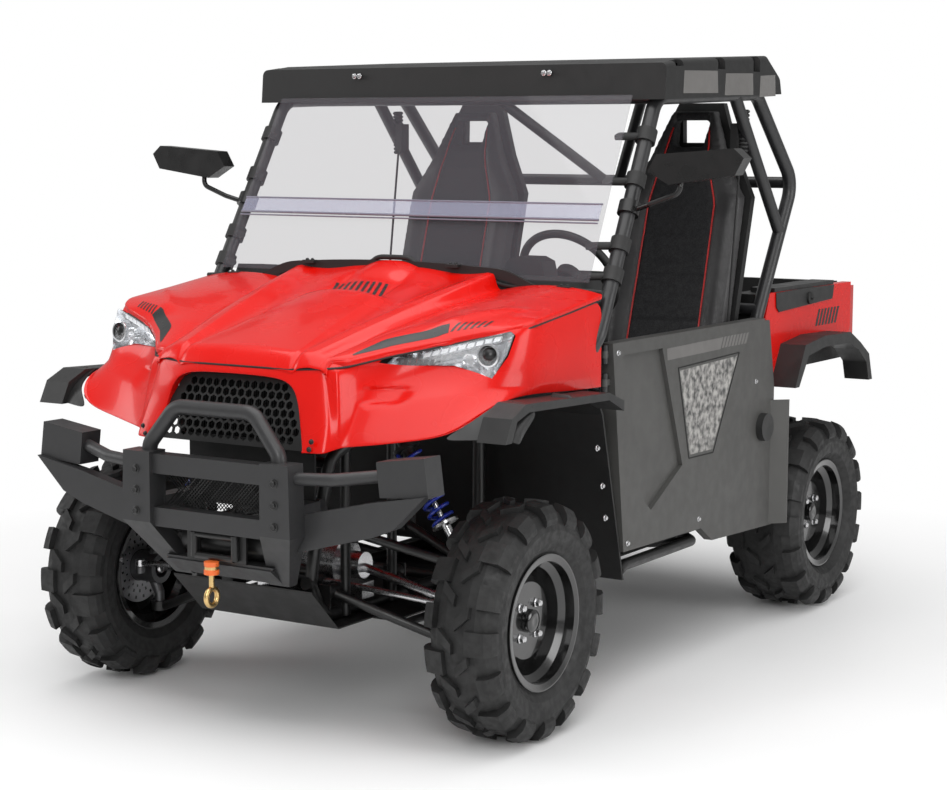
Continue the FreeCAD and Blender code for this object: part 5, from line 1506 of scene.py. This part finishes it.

# %% [markdown]
# An orange rubber stopper sits between the winch and its hook. It could be a plain cylinder, but
# its waist shows, so its profile is turned. Low ribs stiffen the bed's floor. They are boxes with
# a bevel and ride on the bed.

# %% Rope stopper and bed ribs
stopper = lathe(mm(0, -1528, 514), mm(0, -1528, 478),
                [(-1, 18), (0, 21.5), (12, 21.5), (14, 20), (22, 20), (24, 22), (36, 22), (37.5, 19)], 28)
add_piece("rope_stopper", stopper, stopper_orange)
floor_ribs = [box(x - 26, x + 26, 690, 1400, 904, 910) for x in range(-540, 541, 120)]
bed_ribs = add_piece("bed_ribs", join(*floor_ribs), liner_black, "bed")
modify(bed_ribs, "BEVEL", width=0.003, segments=2)
print(len(floor_ribs), "ribs in the bed")

# %% [markdown]
# Moulded and pressed CAD pieces get a small round on their edges, as a mould or a press leaves it.
# The meshes themselves stay as they came, so a Bevel modifier does it, in the millimetres that are
# listed here, and only where two faces meet at more than forty degrees.

# %% Rounded edges of CAD pieces
rounds = {"roof_panel": 14, "front_flares": 6, "rear_flares": 6, "front_bumper": 2.5,
          "bumper_guards": 3, "door_left": 4, "door_right": 4, "side_panels": 4, "rear_panels": 6,
          "mirrors": 6, "tail_lamps": 5, "lid_left": 3, "lid_right": 3, "tailgate": 3,
          "fuel_cap": 3, "arch_liners": 1.5, "seat_shells": 3}
for name, width in rounds.items():
    modify(nodes[name], "BEVEL", width=width / 1000, segments=3, limit_method="ANGLE",
           angle_limit=math.radians(40))
    nodes[name].data.shade_smooth()
print(len(rounds), "pieces rounded")

# %% [markdown]
# The photograph was taken with a long lens from the vehicle's front left, a little above the hood.
# The camera could be turned by eye until it fits. Here its place was solved from matching points
# on both sides of the body, and the angles below build its three axes directly.

# %% Camera at the photograph's angle
camera_place = Vector((3.6428, -5.9554, 1.6778))
camera_yaw, camera_pitch, camera_roll = (math.radians(angle) for angle in (31.894, 6.896, 0.211))
focal_pixels, photo_width, sensor_width = 2075.3, 947, 36

level_right = Vector((math.cos(camera_yaw), math.sin(camera_yaw), 0))
ahead = Vector((-math.sin(camera_yaw) * math.cos(camera_pitch),
                math.cos(camera_yaw) * math.cos(camera_pitch), -math.sin(camera_pitch)))
level_up = level_right.cross(ahead)
right = level_right * math.cos(camera_roll) + level_up * math.sin(camera_roll)
up = level_up * math.cos(camera_roll) - level_right * math.sin(camera_roll)
turn = Matrix((right, up, -ahead)).transposed()
camera_data = bpy.data.cameras.new("camera")
camera_data.sensor_width = sensor_width
camera_data.lens = focal_pixels / photo_width * sensor_width
camera = in_scene("camera", camera_data)
camera.matrix_world = Matrix.Translation(camera_place) @ turn.to_4x4()
bpy.context.scene.camera = camera
print("lens", round(camera_data.lens, 2), "mm")

# %% [markdown]
# The vehicle stands on a pale floor that fades into white. More light could burn the floor out,
# but would wash out the vehicle as well. Instead the floor glows with a strength of one away from
# the vehicle, for rays from the camera only, and keeps its plain finish and shadow close by.

# %% Floor
floor_size, fade_start, fade_end = 60, 1.2, 3.2
bpy.ops.mesh.primitive_plane_add(size=floor_size)
floor = bpy.context.object
floor.name = "floor"
floor_finish = finish("pale_floor", (0.93, 0.93, 0.93), 0.6)
uneven_gloss(floor_finish, 0.5, 0.55, 0.65)


def new_node(tree, kind, operation=None):
    """A new node of a tree, with its operation where it has one."""
    node = tree.nodes.new(kind)
    if operation:
        node.operation = operation
    return node


tree = floor_finish.node_tree
centre = new_node(tree, "ShaderNodeTexCoord")
distance = new_node(tree, "ShaderNodeVectorMath", "LENGTH")
far = new_node(tree, "ShaderNodeMapRange")
far.inputs["From Min"].default_value = fade_start
far.inputs["From Max"].default_value = fade_end
seen = new_node(tree, "ShaderNodeLightPath")
share = new_node(tree, "ShaderNodeMath", "MULTIPLY")
glow = new_node(tree, "ShaderNodeEmission")
glow.inputs["Color"].default_value = (1, 1, 1, 1)
blend_in = new_node(tree, "ShaderNodeMixShader")
for start, end in ((centre.outputs["Object"], distance.inputs[0]),
                   (distance.outputs["Value"], far.inputs["Value"]),
                   (far.outputs["Result"], share.inputs[0]),
                   (seen.outputs["Is Camera Ray"], share.inputs[1]),
                   (share.outputs["Value"], blend_in.inputs["Fac"]),
                   (shader_of(floor_finish).outputs["BSDF"], blend_in.inputs[1]),
                   (glow.outputs["Emission"], blend_in.inputs[2]),
                   (blend_in.outputs["Shader"], tree.nodes["Material Output"].inputs["Surface"])):
    tree.links.new(start, end)
floor.data.materials.append(floor_finish)
print("floor fades from", fade_start, "to", fade_end, "m")

# %% [markdown]
# The world is white to the camera and to rays that pass through clear plastic, and a quiet grey to
# every other ray, mirrored ones too. A white world for all of them would light the vehicle so
# strongly that its black plastics turn grey. Light Path tells the kinds of rays apart.

# %% World
quiet_grey = 0.38
world = bpy.data.worlds.new("studio")
bpy.context.scene.world = world
world.use_nodes = True
tree = world.node_tree
sky = tree.nodes["Background"]
sky.inputs["Color"].default_value = (1, 1, 1, 1)
rays = new_node(tree, "ShaderNodeLightPath")
bright = new_node(tree, "ShaderNodeMath", "MAXIMUM")
level = new_node(tree, "ShaderNodeMapRange")
level.inputs["To Min"].default_value = quiet_grey
level.inputs["To Max"].default_value = 1.0
for start, end in ((rays.outputs["Is Camera Ray"], bright.inputs[0]),
                   (rays.outputs["Is Transmission Ray"], bright.inputs[1]),
                   (bright.outputs["Value"], level.inputs["Value"]),
                   (level.outputs["Result"], sky.inputs["Strength"])):
    tree.links.new(start, end)
print("world at", quiet_grey, "for the light")

# %% [markdown]
# Four large soft lights stand round the vehicle, as in a studio. Small lamps would draw hard
# shadows and tiny highlights. Wide ones give long soft reflections that show the body's form. They
# are weak enough that a colour renders about as it is written, which the Standard view keeps.

# %% Lights
def softbox(name, place, aim, size, power):
    """A rectangular area light that looks at aim."""
    data = bpy.data.lights.new(name, "AREA")
    data.shape = "RECTANGLE"
    data.size, data.size_y = size
    data.energy = power
    lamp = in_scene(name, data)
    lamp.location = place
    lamp.rotation_euler = (Vector(aim) - Vector(place)).to_track_quat("-Z", "Y").to_euler()
    return lamp


lights = [softbox("overhead", (0.5, -1.0, 6.0), (0, 0, 0.8), (7, 7), 330),
          softbox("front_key", (3.5, -6.5, 4.0), (0, -0.6, 0.8), (3, 3), 165),
          softbox("side_fill", (7.5, 0.5, 2.5), (0, 0.2, 0.9), (4, 3), 150),
          softbox("right_rim", (-6.5, -3.0, 3.5), (0, -0.3, 0.9), (3, 3), 90)]
bpy.context.scene.view_settings.view_transform = "Standard"
print(len(lights), "lights,", sum(lamp.data.energy for lamp in lights), "W")
